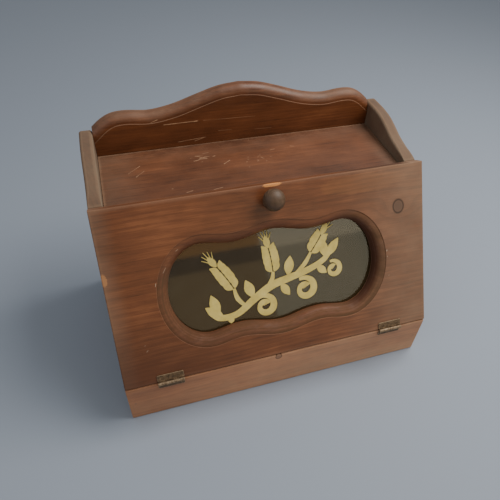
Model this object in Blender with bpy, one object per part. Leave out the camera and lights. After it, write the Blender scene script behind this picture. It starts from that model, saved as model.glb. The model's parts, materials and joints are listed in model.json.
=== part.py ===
"""A countertop bread box in stained pine, modelled as its separate wooden and metal pieces.

The case is two side boards, a shelf for a lid with a scalloped gallery behind it, a bottom board, a
thin back panel and a vertical rail across the front. A door leans back on the sides. It drops forward
on two butt hinges along the rail and has a wavy window glazed from behind.

Metres, +Z up, the front towards -Y, the origin at the bottom centre of the closed box.
"""

from math import atan2, cos, pi, radians, sin, sqrt, tan

import bmesh
import bpy
from mathutils import Matrix, Vector

MM = 0.001

# ---- the boards ----
WIDTH = 406 * MM  # over the two side boards, and the door's and rail's length
BOARD = 16 * MM  # all the solid pine
RAIL_HEIGHT = 70 * MM  # floor to the joint line under the door, on the front face
DOOR_LENGTH = 218 * MM  # up its slope
DOOR_LEAN = radians(30)  # back from the vertical
DOOR_RISE = 9.6 * MM  # how far the door's rear top edge stands above the shelf
SHELF_DEPTH = 113 * MM  # from the gallery's front face to the door's rear top edge
BOTTOM_THICK = 12 * MM
PANEL_THICK = 3.2 * MM
PANEL_LAP = 8 * MM  # how far the back panel lies in the rebates around it
GALLERY_BELOW = 14 * MM  # gallery board under the shelf's underside
EASED = 1 * MM  # the sanded arris of the door and the rail
FIT = 0.3 * MM  # between pieces that touch
DOOR_GAP = 0.6 * MM  # between the door and what it closes against

# ---- the scalloped gallery ----
# Its height above the shelf in millimetres, at a share of the way from its middle to its end.
GALLERY_KNOTS = [(0, 75), (0.139, 72.2), (0.278, 64.6), (0.46, 53.6), (0.62, 48.8), (0.759, 51.2),
                 (0.84, 50.8), (0.898, 47.4), (0.957, 40.5), (1, 33.5), (1.07, 21)]
# ---- the side boards' top ----
# Its height above the door's rear top edge in millimetres, at a share of the shelf's depth forward of the
# gallery's front face.
SIDE_KNOTS = [(-0.265, 20.4), (-0.142, 21), (0, 21.7), (0.177, 21.8), (0.327, 20), (0.469, 15.4),
              (0.619, 9.6), (0.796, 5.6), (0.92, 3), (1, 0.2), (1.15, -5.6)]
ROUND_BIT = 10.5 * MM  # radius of the round on the gallery's front edge
BIT_STEP = 1.0 * MM  # width of the fine step that edges every round
BIT_DROP = 0.8 * MM  # depth of that step
BIT_LEDGE = 0.1 * MM  # how much the step's floor slopes

# ---- the window ----
WINDOW_TOP_MARGIN = 42.5 * MM  # wood between the door's top edge and the window's highest point
WINDOW_FOOT_MARGIN = 27.5 * MM
WINDOW_SIDE_MARGIN = 55.5 * MM
WINDOW_END_REACH = 57.5 * MM  # half-axis of a round end, along the door
WINDOW_END_DIP = 3 * MM  # how much lower than the middle an end is
WINDOW_WAIST_DIP = 7.7 * MM
WINDOW_WAIST_FROM_END = 38 * MM  # from the centre of the round end
WINDOW_BIT = 12.7 * MM  # radius of the round inside the window
GLASS_THICK = 2.4 * MM
GLASS_OVERLAP = 7 * MM  # glass over wood all round, beyond the widest part of the opening
STRIP_FOOT = 6 * MM  # width of a glass strip outside the glass
STRIP_LIP = 3 * MM  # how far it covers the glass
STRIP_THICK = 6.5 * MM

# ---- the knob ----
KNOB_RADIUS = 13.3 * MM
KNOB_HEIGHT = 24.5 * MM
KNOB_SEAT = 7.6 * MM
KNOB_BELOW_TOP = 17 * MM
KNOB_SCREW_INTO = 12 * MM

# ---- the hinges ----
HINGE_FROM_END = 55 * MM  # each hinge's middle, from the box's end
HINGE_LENGTH = 32 * MM
LEAF_REACH = 11 * MM  # from the pin's axis to the leaf's edge
LEAF_THICK = 1 * MM
BARREL = 2.2 * MM  # outer radius of a knuckle
PIN_RADIUS = 1.1 * MM
PIN_PLAY = 0.1 * MM
KNUCKLES = 5
HINGE_SCREW_AT = 9.5 * MM  # each screw's distance from the hinge's middle
HINGE_SCREW_UP = 6.6 * MM  # from the pin's axis

# ---- the magnetic catch on the right side board ----
CATCH_BELOW_TOP = 64 * MM
CATCH_BODY = (9 * MM, 13 * MM, 26 * MM)  # across the case, back from the door, along the slope
CATCH_EAR = 3 * MM  # thickness of the plate that is screwed to the side
CATCH_EAR_REACH = 7 * MM
CATCH_MOUTH = 8.6 * MM  # the cavity across the case
CATCH_MOUTH_LONG = 22 * MM
CATCH_MOUTH_DEEP = 10 * MM
POLE_THICK = 1.4 * MM
STRIKE = (10 * MM, 1 * MM, 28 * MM)

ROUND_STEPS = 5
KNOB_SIDES, KNOB_STEPS = 22, 9
BARREL_SIDES = 14
SMOOTH_ANGLE = radians(35)

# ---- worked out from the sizes above ----
HALF = WIDTH / 2
INNER = HALF - BOARD  # inner face of a side board
STAND_OFF = BARREL + FIT  # pin axis to the wood it lies along
JOINT_DROP = STAND_OFF * tan(DOOR_LEAN / 2)  # pin axis to the joint line, along either face
DOOR_FRONT = STAND_OFF  # in the leaning frame: Y into the box, Z up the slope, 0 at the pin
DOOR_REAR = STAND_OFF + BOARD
DOOR_FOOT = JOINT_DROP + DOOR_GAP / 2
DOOR_TOP = DOOR_FOOT + DOOR_LENGTH
TOP_BACK = DOOR_REAR * cos(DOOR_LEAN) + DOOR_TOP * sin(DOOR_LEAN)  # rear top edge, back from the pin
TOP_UP = DOOR_TOP * cos(DOOR_LEAN) - DOOR_REAR * sin(DOOR_LEAN)
CASE_DEPTH = TOP_BACK - STAND_OFF + SHELF_DEPTH + BOARD
FRONT_REACH = STAND_OFF + BARREL  # what the hinges stand proud of the rail
RAIL_FRONT = (FRONT_REACH - CASE_DEPTH) / 2
RAIL_REAR = RAIL_FRONT + BOARD
REAR = RAIL_FRONT + CASE_DEPTH
PIN = Vector((0, RAIL_FRONT - STAND_OFF, RAIL_HEIGHT + JOINT_DROP))
SHELF_TOP = PIN.z + TOP_UP - DOOR_RISE
SHELF_UNDER = SHELF_TOP - BOARD
GALLERY_FRONT = REAR - BOARD
GALLERY_FOOT = SHELF_UNDER - GALLERY_BELOW
PANEL_FRONT = REAR - PANEL_THICK
PANEL_TOP = GALLERY_FOOT + PANEL_LAP
WINDOW_MIDDLE_HALF = (DOOR_LENGTH - WINDOW_TOP_MARGIN - WINDOW_FOOT_MARGIN) / 2
WINDOW_END_HALF = WINDOW_MIDDLE_HALF - WINDOW_END_DIP
WINDOW_WAIST_HALF = WINDOW_MIDDLE_HALF - WINDOW_WAIST_DIP
WINDOW_END_AT = HALF - WINDOW_SIDE_MARGIN - WINDOW_END_REACH
WINDOW_WAIST_AT = WINDOW_END_AT - WINDOW_WAIST_FROM_END
WINDOW_Z = DOOR_TOP - WINDOW_TOP_MARGIN - WINDOW_MIDDLE_HALF
HINGE_AT = HALF - HINGE_FROM_END
GLASS_FRONT = DOOR_REAR + FIT
GLASS_BACK = GLASS_FRONT + GLASS_THICK
GLASS_HALF_WIDE = WINDOW_END_AT + WINDOW_END_REACH - WINDOW_BIT - BIT_STEP + GLASS_OVERLAP
GLASS_HALF_HIGH = WINDOW_MIDDLE_HALF - WINDOW_BIT - BIT_STEP + GLASS_OVERLAP


# ---- helpers ----
def finish(name, colour, roughness, metallic=0.0, alpha=1.0):
    """A Principled material."""
    made = bpy.data.materials.new(name)
    made.use_nodes = True
    shader = made.node_tree.nodes["Principled BSDF"]
    shader.inputs["Base Color"].default_value = (*colour, 1)
    shader.inputs["Roughness"].default_value = roughness
    shader.inputs["Metallic"].default_value = metallic
    shader.inputs["Alpha"].default_value = alpha
    return made


def sub_part(name, bm, material, parent=None):
    """The object made of a bmesh, with its faces turned outwards."""
    bmesh.ops.recalc_face_normals(bm, faces=bm.faces)
    mesh = bpy.data.meshes.new(name)
    bm.to_mesh(mesh)
    bm.free()
    mesh.shade_smooth()
    mesh.set_sharp_from_angle(angle=SMOOTH_ANGLE)
    made = bpy.data.objects.new(name, mesh)
    bpy.context.scene.collection.objects.link(made)
    made.parent = parent
    if material:
        mesh.materials.append(material)
    return made


def block(name, low, high, material, parent=None):
    """A box between two corners."""
    low, high = Vector(low), Vector(high)
    bm = bmesh.new()
    size = Matrix.Diagonal((*(high - low), 1))
    bmesh.ops.create_cube(bm, size=1, matrix=Matrix.Translation((low + high) / 2) @ size)
    return sub_part(name, bm, material, parent)


def prism(name, outline, low, high, place, material, parent=None):
    """An outline extruded from low to high; place(a, b, depth) says where its points lie."""
    return loft(name, [[place(a, b, depth) for a, b in outline] for depth in (low, high)], material, parent)


def across(y, z, x):
    return (x, y, z)


def deep(x, z, y):
    return (x, y, z)


def upright(x, y, z):
    return (x, y, z)


def loft(name, rings, material, parent=None):
    """Closed rings of points joined one to the next, and a face over the first and the last."""
    bm = bmesh.new()
    made = [[bm.verts.new(point) for point in ring] for ring in rings]
    for ring, following in zip(made, made[1:]):
        for i, corner in enumerate(ring):
            after = (i + 1) % len(ring)
            bm.faces.new((corner, ring[after], following[after], following[i]))
    bm.faces.new(made[0])
    bm.faces.new(made[-1])
    return sub_part(name, bm, material, parent)


def turned(name, profile, at, outward, material, parent=None, sides=16):
    """A profile of (radius, height) pairs spun about its axis, its heights running outward from at."""
    bm = bmesh.new()
    points = [bm.verts.new((radius, 0, height)) for radius, height in profile]
    edges = [bm.edges.new(pair) for pair in zip(points, points[1:])]
    bmesh.ops.spin(
        bm, geom=points + edges, cent=(0, 0, 0), axis=(0, 0, 1), angle=2 * pi, steps=sides, use_merge=True)
    bmesh.ops.remove_doubles(bm, verts=bm.verts, dist=0.001 * MM)
    made = sub_part(name, bm, material, parent)
    made.location = at
    made.rotation_euler = Vector((0, 0, 1)).rotation_difference(Vector(outward)).to_euler()
    return made


def combine(target, tool, operation="DIFFERENCE"):
    """A Boolean on target with a tool, which isn't a piece of the object."""
    tool.hide_render = True
    tool.display_type = "WIRE"
    modifier = target.modifiers.new(tool.name, "BOOLEAN")
    modifier.object = tool
    modifier.operation = operation
    modifier.solver = "EXACT"


def hole(pieces, profile, at, outward, parent=None, sides=10):
    """The same turned hole in each of the pieces."""
    tool = turned("hole", profile, at, outward, None, parent, sides)
    for piece in pieces:
        combine(piece, tool)


def ease(piece, width=EASED):
    bevel = piece.modifiers.new("eased", "BEVEL")
    bevel.width = width
    bevel.segments = 2
    bevel.limit_method = "ANGLE"


def smooth_height(knots, at):
    """The height at a place on the smooth curve through (place, height) knots."""
    def slope(i):
        before, after = knots[max(i - 1, 0)], knots[min(i + 1, len(knots) - 1)]
        return (after[1] - before[1]) / (after[0] - before[0])

    index = max(i for i, knot in enumerate(knots[:-1]) if knot[0] <= at or i == 0)
    (a, start), (b, end) = knots[index], knots[index + 1]
    span = b - a
    t = (at - a) / span
    return ((2 * t**3 - 3 * t**2 + 1) * start + (t**3 - 2 * t**2 + t) * span * slope(index)
            + (3 * t**2 - 2 * t**3) * end + (t**3 - t**2) * span * slope(index + 1))


def leaning(y, z):
    """A point of the leaning frame in the case's own, as (y, z)."""
    return (PIN.y + y * cos(DOOR_LEAN) + z * sin(DOOR_LEAN), PIN.z - y * sin(DOOR_LEAN) + z * cos(DOOR_LEAN))


def slope_at_height(y, height):
    """How far back a plane parallel to the door, y behind the pin, stands at a height."""
    up_slope = (height - PIN.z + y * sin(DOOR_LEAN)) / cos(DOOR_LEAN)
    return leaning(y, up_slope)[0]


def slope_at_depth(y, depth):
    """The height of that plane at a depth."""
    up_slope = (depth - PIN.y - y * cos(DOOR_LEAN)) / sin(DOOR_LEAN)
    return leaning(y, up_slope)[1]


def bit_profile(radius):
    """What the router bit leaves, as (depth, distance in from its outer line) pairs."""
    profile = [(0, 0), (BIT_DROP, 0)]
    for i in range(ROUND_STEPS + 1):
        turn = pi / 2 * i / ROUND_STEPS
        profile.append((BIT_DROP + BIT_LEDGE + radius * (1 - cos(turn)), BIT_STEP + radius * sin(turn)))
    return profile


# ---- fasteners ----
def flat_screw(name, length, shank, head, at, outward, material, parent=None):
    """A countersunk wood screw: its flat head at a point, its slot cut across."""
    cone = head - shank
    profile = [(0, 0), (head, 0), (shank, -cone), (shank, shank * 2 - length), (0, -length)]
    screw = turned(name, profile, at, outward, material, parent, sides=10)
    slot = block("slot", (-head * 1.2, -0.3 * MM, -0.55 * MM), (head * 1.2, 0.3 * MM, 1 * MM), None)
    slot.parent = screw
    combine(screw, slot)
    return screw


def screw_hole(pieces, length, shank, head, at, outward, parent=None):
    """Clearance for a flat screw, its countersink opening outwards."""
    shank, head, length = shank + FIT, head + FIT, length + FIT
    cone = head - shank
    hole(pieces, [(0, 3 * MM), (head, 3 * MM), (head, -0.1 * MM), (shank, -cone - 0.1 * MM), (shank, -length),
                  (0, -length)], at, outward, parent)


def nail(name, length, at, outward, material, parent=None, shank=0.8 * MM, head=1.4 * MM):
    """A wire nail, its head at a point."""
    profile = [(0, 0), (head, 0), (head, -0.8 * MM), (shank, -0.8 * MM), (shank, 2 * MM - length),
               (0, -length)]
    return turned(name, profile, at, outward, material, parent, sides=8)


def nail_hole(pieces, length, at, outward, parent=None, shank=0.8 * MM, head=1.4 * MM):
    shank, head = shank + FIT, head + FIT
    hole(pieces, [(0, 4 * MM), (head, 4 * MM), (head, -1.1 * MM), (shank, -1.1 * MM), (shank, -length - FIT),
                  (0, -length - FIT)], at, outward, parent, sides=8)


# ---- the case ----
def side_board(name, side, pine):
    """One end of the case, its top falling in an S to the door; side is -1 on the left."""
    edge = DOOR_REAR + DOOR_GAP
    front = RAIL_REAR + FIT
    steps = 26
    door_edge = slope_at_height(edge, leaning(DOOR_REAR, DOOR_TOP)[1])
    crest = []
    for i in range(steps + 1):
        y = door_edge + (REAR - door_edge) * i / steps
        height = smooth_height(SIDE_KNOTS, (GALLERY_FRONT - y) / SHELF_DEPTH) * MM
        crest.append((y, SHELF_TOP + DOOR_RISE + height))
    outline = [(REAR, 0), (front, 0), (front, slope_at_depth(edge, front)), *crest]
    board = prism(name, outline, side * INNER, side * HALF, across, pine)
    inner, rebate = side * (INNER - 1 * MM), side * (INNER + PANEL_LAP)
    low, high = sorted((inner, rebate))
    cutter = block(
        "rebate", (low, PANEL_FRONT - FIT, -1 * MM), (high, REAR + 1 * MM, PANEL_TOP + FIT), None)
    combine(board, cutter)
    return board


def shelf(pine):
    """The fixed top, its front edge cut to the door's slope."""
    edge = DOOR_REAR + DOOR_GAP
    outline = [(GALLERY_FRONT - FIT, SHELF_UNDER), (slope_at_height(edge, SHELF_UNDER), SHELF_UNDER),
               (slope_at_height(edge, SHELF_TOP), SHELF_TOP), (GALLERY_FRONT - FIT, SHELF_TOP)]
    return prism("top_shelf", outline, FIT - INNER, INNER - FIT, across, pine)


def gallery(pine):
    """The scalloped board behind the shelf, its front top edge rounded above a fine step."""
    half, reach = INNER - FIT, INNER + 12 * MM
    stations, readings, tiny = 44, 160, 0.5 * MM

    def height(x):
        return smooth_height(GALLERY_KNOTS, abs(x) / INNER) * MM

    def crest(offset):
        """The top edge moved in by an offset along its normal, read at even stations."""
        curve = []
        for i in range(readings + 1):
            x = -reach + 2 * reach * i / readings
            lean = atan2(height(x + tiny) - height(x - tiny), 2 * tiny)
            curve.append((x + offset * sin(lean), height(x) - offset * cos(lean)))
        read = []
        for i in range(stations + 1):
            x = half - 2 * half * i / stations
            index = max(k for k in range(len(curve) - 1) if curve[k][0] <= x)
            (a, low), (b, high) = curve[index], curve[index + 1]
            read.append((x, SHELF_TOP + low + (high - low) * (x - a) / (b - a)))
        return read

    def ring(y, offset):
        return [(x, y, z) for x, z in [(-half, GALLERY_FOOT), (half, GALLERY_FOOT), *crest(offset)]]

    full = ROUND_BIT + BIT_STEP
    rings = [ring(GALLERY_FRONT + depth, full - inward) for depth, inward in bit_profile(ROUND_BIT)]
    rings.append(ring(REAR, 0))
    board = loft("gallery_back", rings, pine)
    rebate = block("gallery_rebate", (-HALF, PANEL_FRONT - FIT, GALLERY_FOOT - 1 * MM),
                   (HALF, REAR + 1 * MM, PANEL_TOP + FIT), None)
    combine(board, rebate)
    return board


def rail(pine):
    """The vertical board under the door, its top edge cut square to the door's slope."""
    seat = JOINT_DROP - DOOR_GAP / 2
    seat_front = PIN.z + (seat - STAND_OFF * sin(DOOR_LEAN)) / cos(DOOR_LEAN)
    outline = [(RAIL_REAR, 0), (RAIL_FRONT, 0), (RAIL_FRONT, seat_front),
               (RAIL_REAR, seat_front - BOARD * tan(DOOR_LEAN))]
    board = prism("base_rail", outline, -HALF, HALF, across, pine)
    ease(board)
    return board


def bottom(pine):
    return block("bottom_board", (FIT - INNER, RAIL_REAR + FIT, 0),
                 (INNER - FIT, PANEL_FRONT - FIT, BOTTOM_THICK), pine)


def back_panel(ply):
    half = INNER + PANEL_LAP - FIT
    return block("back_panel", (-half, PANEL_FRONT, 0), (half, REAR, PANEL_TOP), ply)


# ---- the door ----
def window_outline(inset, count=12):
    """The window's wavy outline about its centre, moved in by an inset; count points a quarter."""
    quarter = []
    for i in range(count):
        along = WINDOW_END_AT * i / count
        if along < WINDOW_WAIST_AT:
            share = (1 - cos(pi * along / WINDOW_WAIST_AT)) / 2
            high = WINDOW_MIDDLE_HALF + (WINDOW_WAIST_HALF - WINDOW_MIDDLE_HALF) * share
        else:
            share = (1 - cos(pi * (along - WINDOW_WAIST_AT) / (WINDOW_END_AT - WINDOW_WAIST_AT))) / 2
            high = WINDOW_WAIST_HALF + (WINDOW_END_HALF - WINDOW_WAIST_HALF) * share
        quarter.append((along, high))
    for i in range(count):
        turn = pi / 2 * i / count
        quarter.append((WINDOW_END_AT + WINDOW_END_REACH * sin(turn), WINDOW_END_HALF * cos(turn)))
    tip = [(WINDOW_END_AT + WINDOW_END_REACH, 0)]
    right = quarter + tip + [(x, -z) for x, z in quarter[:0:-1]]
    loop = right + [(-x, -z) for x, z in right]
    moved = []
    for i, (x, z) in enumerate(loop):
        before, after = loop[i - 1], loop[(i + 1) % len(loop)]
        dx, dz = after[0] - before[0], after[1] - before[1]
        length = sqrt(dx * dx + dz * dz)
        moved.append((x + inset * dz / length, z - inset * dx / length))
    return moved


def door(pine, axis):
    """The sloping door: a flat board with a window whose edge is stepped and rounded."""
    board = block("door_panel", (-HALF, DOOR_FRONT, DOOR_FOOT), (HALF, DOOR_REAR, DOOR_TOP), pine, axis)
    ease(board)

    def ring(depth, inset):
        return [(x, DOOR_FRONT + depth, WINDOW_Z + z) for x, z in window_outline(inset)]

    profile = bit_profile(WINDOW_BIT)
    rings = [ring(-2 * MM, 0)]
    rings += [ring(depth, inward) for depth, inward in profile[1:]]
    rings.append(ring(BOARD + 2 * MM, profile[-1][1]))
    combine(board, loft("window_cut", rings, None, axis))
    return board


def glazing(glass, pine, steel, board, axis):
    """The pane behind the window, and the four strips that hold it, each pinned with brads."""
    block("window_glass", (-GLASS_HALF_WIDE, GLASS_FRONT, WINDOW_Z - GLASS_HALF_HIGH),
          (GLASS_HALF_WIDE, GLASS_BACK, WINDOW_Z + GLASS_HALF_HIGH), glass, axis)
    foot, outer = FIT, FIT + STRIP_FOOT
    low, lip, high = DOOR_REAR + FIT, GLASS_BACK + FIT, DOOR_REAR + STRIP_THICK
    section = [(outer, low), (outer, high), (-STRIP_LIP, high), (-STRIP_LIP, lip), (foot, lip), (foot, low)]
    long_half = GLASS_HALF_WIDE + outer
    short_half = GLASS_HALF_HIGH - STRIP_LIP - FIT
    brad_length = 13 * MM
    middle = (foot + outer) / 2
    for side, name in ((1, "top"), (-1, "bottom")):
        edge = side * GLASS_HALF_HIGH + WINDOW_Z
        outline = [(y, edge + side * out) for out, y in section]
        strip = prism(f"glass_strip_{name}", outline, -long_half, long_half, across, pine, axis)
        for end, end_name in ((-1, "left"), (1, "right")):
            at = (end * (long_half - 40 * MM), high - 0.5 * MM, edge + side * middle)
            nail_hole([strip, board], brad_length, at, (0, 1, 0), axis, 0.5 * MM, 0.8 * MM)
            nail(f"brad_{name}_{end_name}", brad_length, at, (0, 1, 0), steel, axis, 0.5 * MM, 0.8 * MM)
    for side, name in ((-1, "left"), (1, "right")):
        edge = side * GLASS_HALF_WIDE
        outline = [(edge + side * out, y) for out, y in section]
        strip = prism(f"glass_strip_{name}", outline, WINDOW_Z - short_half, WINDOW_Z + short_half, upright,
                      pine, axis)
        at = (edge + side * middle, high - 0.5 * MM, WINDOW_Z)
        nail_hole([strip, board], brad_length, at, (0, 1, 0), axis, 0.5 * MM, 0.8 * MM)
        nail(f"brad_{name}", brad_length, at, (0, 1, 0), steel, axis, 0.5 * MM, 0.8 * MM)


def knob(dark, steel, board, axis):
    """The turned knob and the screw that holds it from inside."""
    z = DOOR_TOP - KNOB_BELOW_TOP
    middle = KNOB_HEIGHT - KNOB_RADIUS * 0.86
    profile = [(0, FIT), (KNOB_SEAT, FIT), (KNOB_SEAT * 1.06, 1.2 * MM), (KNOB_SEAT * 0.9, 2.6 * MM)]
    start = radians(-52)
    for i in range(KNOB_STEPS + 1):
        turn = start + (pi / 2 - start) * i / KNOB_STEPS
        profile.append((KNOB_RADIUS * cos(turn), middle + KNOB_RADIUS * 0.86 * sin(turn)))
    profile[-1] = (0, profile[-1][1])
    made = turned("knob", profile, (0, DOOR_FRONT, z), (0, -1, 0), dark, axis, KNOB_SIDES)
    sunk, length = 0.8 * MM, BOARD + KNOB_SCREW_INTO
    at = (0, DOOR_REAR - sunk, z)
    screw_hole([board, made], length, 1.9 * MM, 3.8 * MM, at, (0, 1, 0), axis)
    flat_screw("knob_screw", length, 1.9 * MM, 3.8 * MM, at, (0, 1, 0), steel, axis)


def rod(name, radius, low, high, parent):
    """A tool the shape of a rod along X."""
    profile = [(0, low), (radius, low), (radius, high), (0, high)]
    return turned(name, profile, (0, 0, 0), (1, 0, 0), None, parent, BARREL_SIDES)


def leaf(name, middle, up, own, material, parent):
    """One hinge leaf: a plate flat on the wood, and its own knuckles curled round the pin."""
    half = HINGE_LENGTH / 2
    edge = sorted((up * (BARREL + 0.4 * MM), up * LEAF_REACH))
    plate = block(name, (-half, BARREL - LEAF_THICK, edge[0]), (half, BARREL, edge[1]), material, parent)
    plate.location = middle
    segment = HINGE_LENGTH / KNUCKLES
    for i in own:
        low, high = -half + i * segment + FIT / 2, -half + (i + 1) * segment - FIT / 2
        skin = 0.02 * MM
        reach = sorted((-up * 0.1 * MM, up * (BARREL + 1 * MM)))
        tongue = block("tongue", (low, BARREL - LEAF_THICK + skin, reach[0]), (high, BARREL - skin, reach[1]),
                       None, plate)
        combine(plate, tongue, "UNION")
        combine(plate, rod("curl", BARREL, low, high, plate), "UNION")
    combine(plate, rod("pin_bore", PIN_RADIUS + PIN_PLAY, -half - 1 * MM, half + 1 * MM, plate))
    return plate


def hinge(name, x, brass, board, front_rail, axis):
    """A butt hinge screwed to the faces of the door and the rail, its pin along the joint."""
    door_leaf = leaf(f"hinge_{name}_door_leaf", (x, 0, 0), 1, range(1, KNUCKLES, 2), brass, axis)
    middle = PIN + Vector((x, 0, 0))
    rail_leaf = leaf(f"hinge_{name}_rail_leaf", middle, -1, range(0, KNUCKLES, 2), brass, None)
    chamfer = 0.4 * MM
    half = HINGE_LENGTH / 2 + chamfer
    ends = [(PIN_RADIUS * 0.7, -half), (PIN_RADIUS, chamfer - half)]
    pin = [(0, -half), *ends, *[(radius, -along) for radius, along in reversed(ends)], (0, half)]
    turned(f"hinge_{name}_pin", pin, middle, (1, 0, 0), brass, None, BARREL_SIDES)
    face = BARREL - LEAF_THICK
    length, shank, head = 9.5 * MM, 1.0 * MM, 2.2 * MM
    for end, end_name in ((-1, "left"), (1, "right")):
        across_at = x + end * HINGE_SCREW_AT
        at = Vector((across_at, face - 0.05 * MM, HINGE_SCREW_UP))
        screw_hole([door_leaf, board], length, shank, head, at, (0, -1, 0), axis)
        flat_screw(f"hinge_{name}_door_screw_{end_name}", length, shank, head, at, (0, -1, 0), brass, axis)
        at = PIN + Vector((across_at, face - 0.05 * MM, -HINGE_SCREW_UP))
        screw_hole([rail_leaf, front_rail], length, shank, head, at, (0, -1, 0))
        flat_screw(f"hinge_{name}_rail_screw_{end_name}", length, shank, head, at, (0, -1, 0), brass)


# ---- the catch ----
def catch(plastic, steel, magnet, side_board_right, board, axis, slope):
    """A magnetic catch on the right side board, and its strike plate on the door."""
    wide, back, long = CATCH_BODY
    z = DOOR_TOP - CATCH_BELOW_TOP
    face = INNER - FIT
    strike_back = DOOR_REAR + FIT + STRIKE[1]
    pole_front = strike_back + FIT
    front = pole_front + 0.6 * MM
    ear, half = face - CATCH_EAR, long / 2
    ear_end, inner = half + CATCH_EAR_REACH, face - CATCH_EAR - wide
    outline = [(face, -ear_end), (face, ear_end), (ear, ear_end), (ear, half), (inner, half), (inner, -half),
               (ear, -half), (ear, -ear_end)]
    section = [(x, z + up) for x, up in outline]
    housing = prism("catch_housing", section, front, front + back, deep, plastic, slope)
    mouth = inner + (wide + CATCH_EAR - CATCH_MOUTH) / 2
    long_half = CATCH_MOUTH_LONG / 2
    cavity = block("catch_cavity", (mouth, front - 1 * MM, z - long_half),
                   (mouth + CATCH_MOUTH, front + CATCH_MOUTH_DEEP, z + long_half), None, slope)
    combine(housing, cavity)
    low, high, deep_end = z - long_half + FIT, z + long_half - FIT, front + CATCH_MOUTH_DEEP - FIT
    magnet_wide = CATCH_MOUTH - 2 * POLE_THICK - 4 * FIT
    x = mouth + FIT
    for name, thick, material, start in (("catch_pole_inner", POLE_THICK, steel, pole_front),
                                         ("catch_magnet", magnet_wide, magnet, front),
                                         ("catch_pole_outer", POLE_THICK, steel, pole_front)):
        block(name, (x, start, low), (x + thick, deep_end, high), material, slope)
        x += thick + FIT
    for end, end_name in ((-1, "lower"), (1, "upper")):
        at = (ear - 0.05 * MM, front + back / 2, z + end * (half + CATCH_EAR_REACH / 2))
        screw_hole([housing, side_board_right], 11 * MM, 1.1 * MM, 2.4 * MM, at, (-1, 0, 0), slope)
        flat_screw(f"catch_screw_{end_name}", 11 * MM, 1.1 * MM, 2.4 * MM, at, (-1, 0, 0), steel, slope)
    middle = mouth + CATCH_MOUTH / 2
    strike_wide, strike_thick, strike_long = STRIKE
    plate = block("strike_plate", (middle - strike_wide / 2, DOOR_REAR + FIT, z - strike_long / 2),
                  (middle + strike_wide / 2, strike_back, z + strike_long / 2), steel, axis)
    at = (middle, strike_back - 0.05 * MM, z)
    screw_hole([plate, board], 10 * MM, 1.1 * MM, 2.2 * MM, at, (0, 1, 0), axis)
    flat_screw("strike_screw", 10 * MM, 1.1 * MM, 2.2 * MM, at, (0, 1, 0), steel, axis)


# ---- the nails ----
def case_nails(steel, pieces):
    """Nails through the side boards into what stands between them, their heads set below the face."""
    length, sunk = 38 * MM, 1.5 * MM
    shelf_z, bottom_z = (SHELF_TOP + SHELF_UNDER) / 2, BOTTOM_THICK / 2
    shelf_front = slope_at_height(DOOR_REAR, shelf_z)
    places = [("shelf_front", "top_shelf", shelf_front + 22 * MM, shelf_z),
              ("shelf_rear", "top_shelf", GALLERY_FRONT - 22 * MM, shelf_z),
              ("gallery", "gallery_back", GALLERY_FRONT + BOARD / 2, SHELF_TOP + 12 * MM),
              ("bottom_front", "bottom_board", RAIL_REAR + 30 * MM, bottom_z),
              ("bottom_rear", "bottom_board", REAR - 34 * MM, bottom_z)]
    for side, side_name in ((-1, "left"), (1, "right")):
        board = pieces[f"{side_name}_side"]
        outward = (side, 0, 0)
        for name, into, y, z in places:
            at = (side * (HALF - sunk), y, z)
            nail_hole([board, pieces[into]], length, at, outward)
            nail(f"nail_{side_name}_{name}", length, at, outward, steel)
        at = (side * (HALF - BOARD / 2), RAIL_FRONT + sunk, RAIL_HEIGHT / 2)
        nail_hole([pieces["base_rail"], board], length, at, (0, -1, 0))
        nail(f"nail_{side_name}_rail", length, at, (0, -1, 0), steel)


def panel_nails(steel, pieces):
    """Short nails round the back panel."""
    length = 13 * MM
    spread = INNER * 0.6
    lap = (GALLERY_FOOT + PANEL_TOP) / 2
    for end, end_name in ((-1, "left"), (1, "right")):
        for name, into, z in (("top", "gallery_back", lap), ("bottom", "bottom_board", BOTTOM_THICK / 2)):
            at = (end * spread, REAR - 0.3 * MM, z)
            nail_hole([pieces["back_panel"], pieces[into]], length, at, (0, 1, 0), None, 0.6 * MM, 1.2 * MM)
            nail(f"panel_nail_{name}_{end_name}", length, at, (0, 1, 0), steel, None, 0.6 * MM, 1.2 * MM)


def main():
    for old in list(bpy.data.objects):
        bpy.data.objects.remove(old)
    pine = finish("stained_pine", (0.24, 0.09, 0.045), 0.5)
    inner_pine = finish("inner_pine", (0.36, 0.2, 0.11), 0.6)
    ply = finish("back_ply", (0.4, 0.27, 0.16), 0.7)
    dark = finish("dark_turned_wood", (0.07, 0.045, 0.035), 0.45)
    glass = finish("window_pane", (0.5, 0.55, 0.5), 0.05, alpha=0.35)
    brass = finish("aged_brass", (0.3, 0.23, 0.13), 0.45, 1)
    steel = finish("bright_steel", (0.55, 0.55, 0.55), 0.4, 1)
    magnet = finish("ferrite_magnet", (0.05, 0.05, 0.05), 0.6)
    plastic = finish("brown_plastic", (0.16, 0.08, 0.05), 0.5)

    axis = bpy.data.objects.new("door_hinge_axis", None)
    slope = bpy.data.objects.new("case_slope", None)
    for empty in (axis, slope):
        bpy.context.scene.collection.objects.link(empty)
        empty.location = PIN
        empty.rotation_euler = (-DOOR_LEAN, 0, 0)

    made = [side_board("left_side", -1, pine), side_board("right_side", 1, pine), shelf(pine), gallery(pine),
            rail(pine), bottom(inner_pine), back_panel(ply)]
    pieces = {piece.name: piece for piece in made}
    board = door(pine, axis)
    glazing(glass, inner_pine, steel, board, axis)
    knob(dark, steel, board, axis)
    for name, x in (("left", -HINGE_AT), ("right", HINGE_AT)):
        hinge(name, x, brass, board, pieces["base_rail"], axis)
    catch(plastic, steel, magnet, pieces["right_side"], board, axis, slope)
    case_nails(steel, pieces)
    panel_nails(steel, pieces)


main()
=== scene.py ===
"""A countertop bread box in worn stained pine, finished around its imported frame."""

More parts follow.
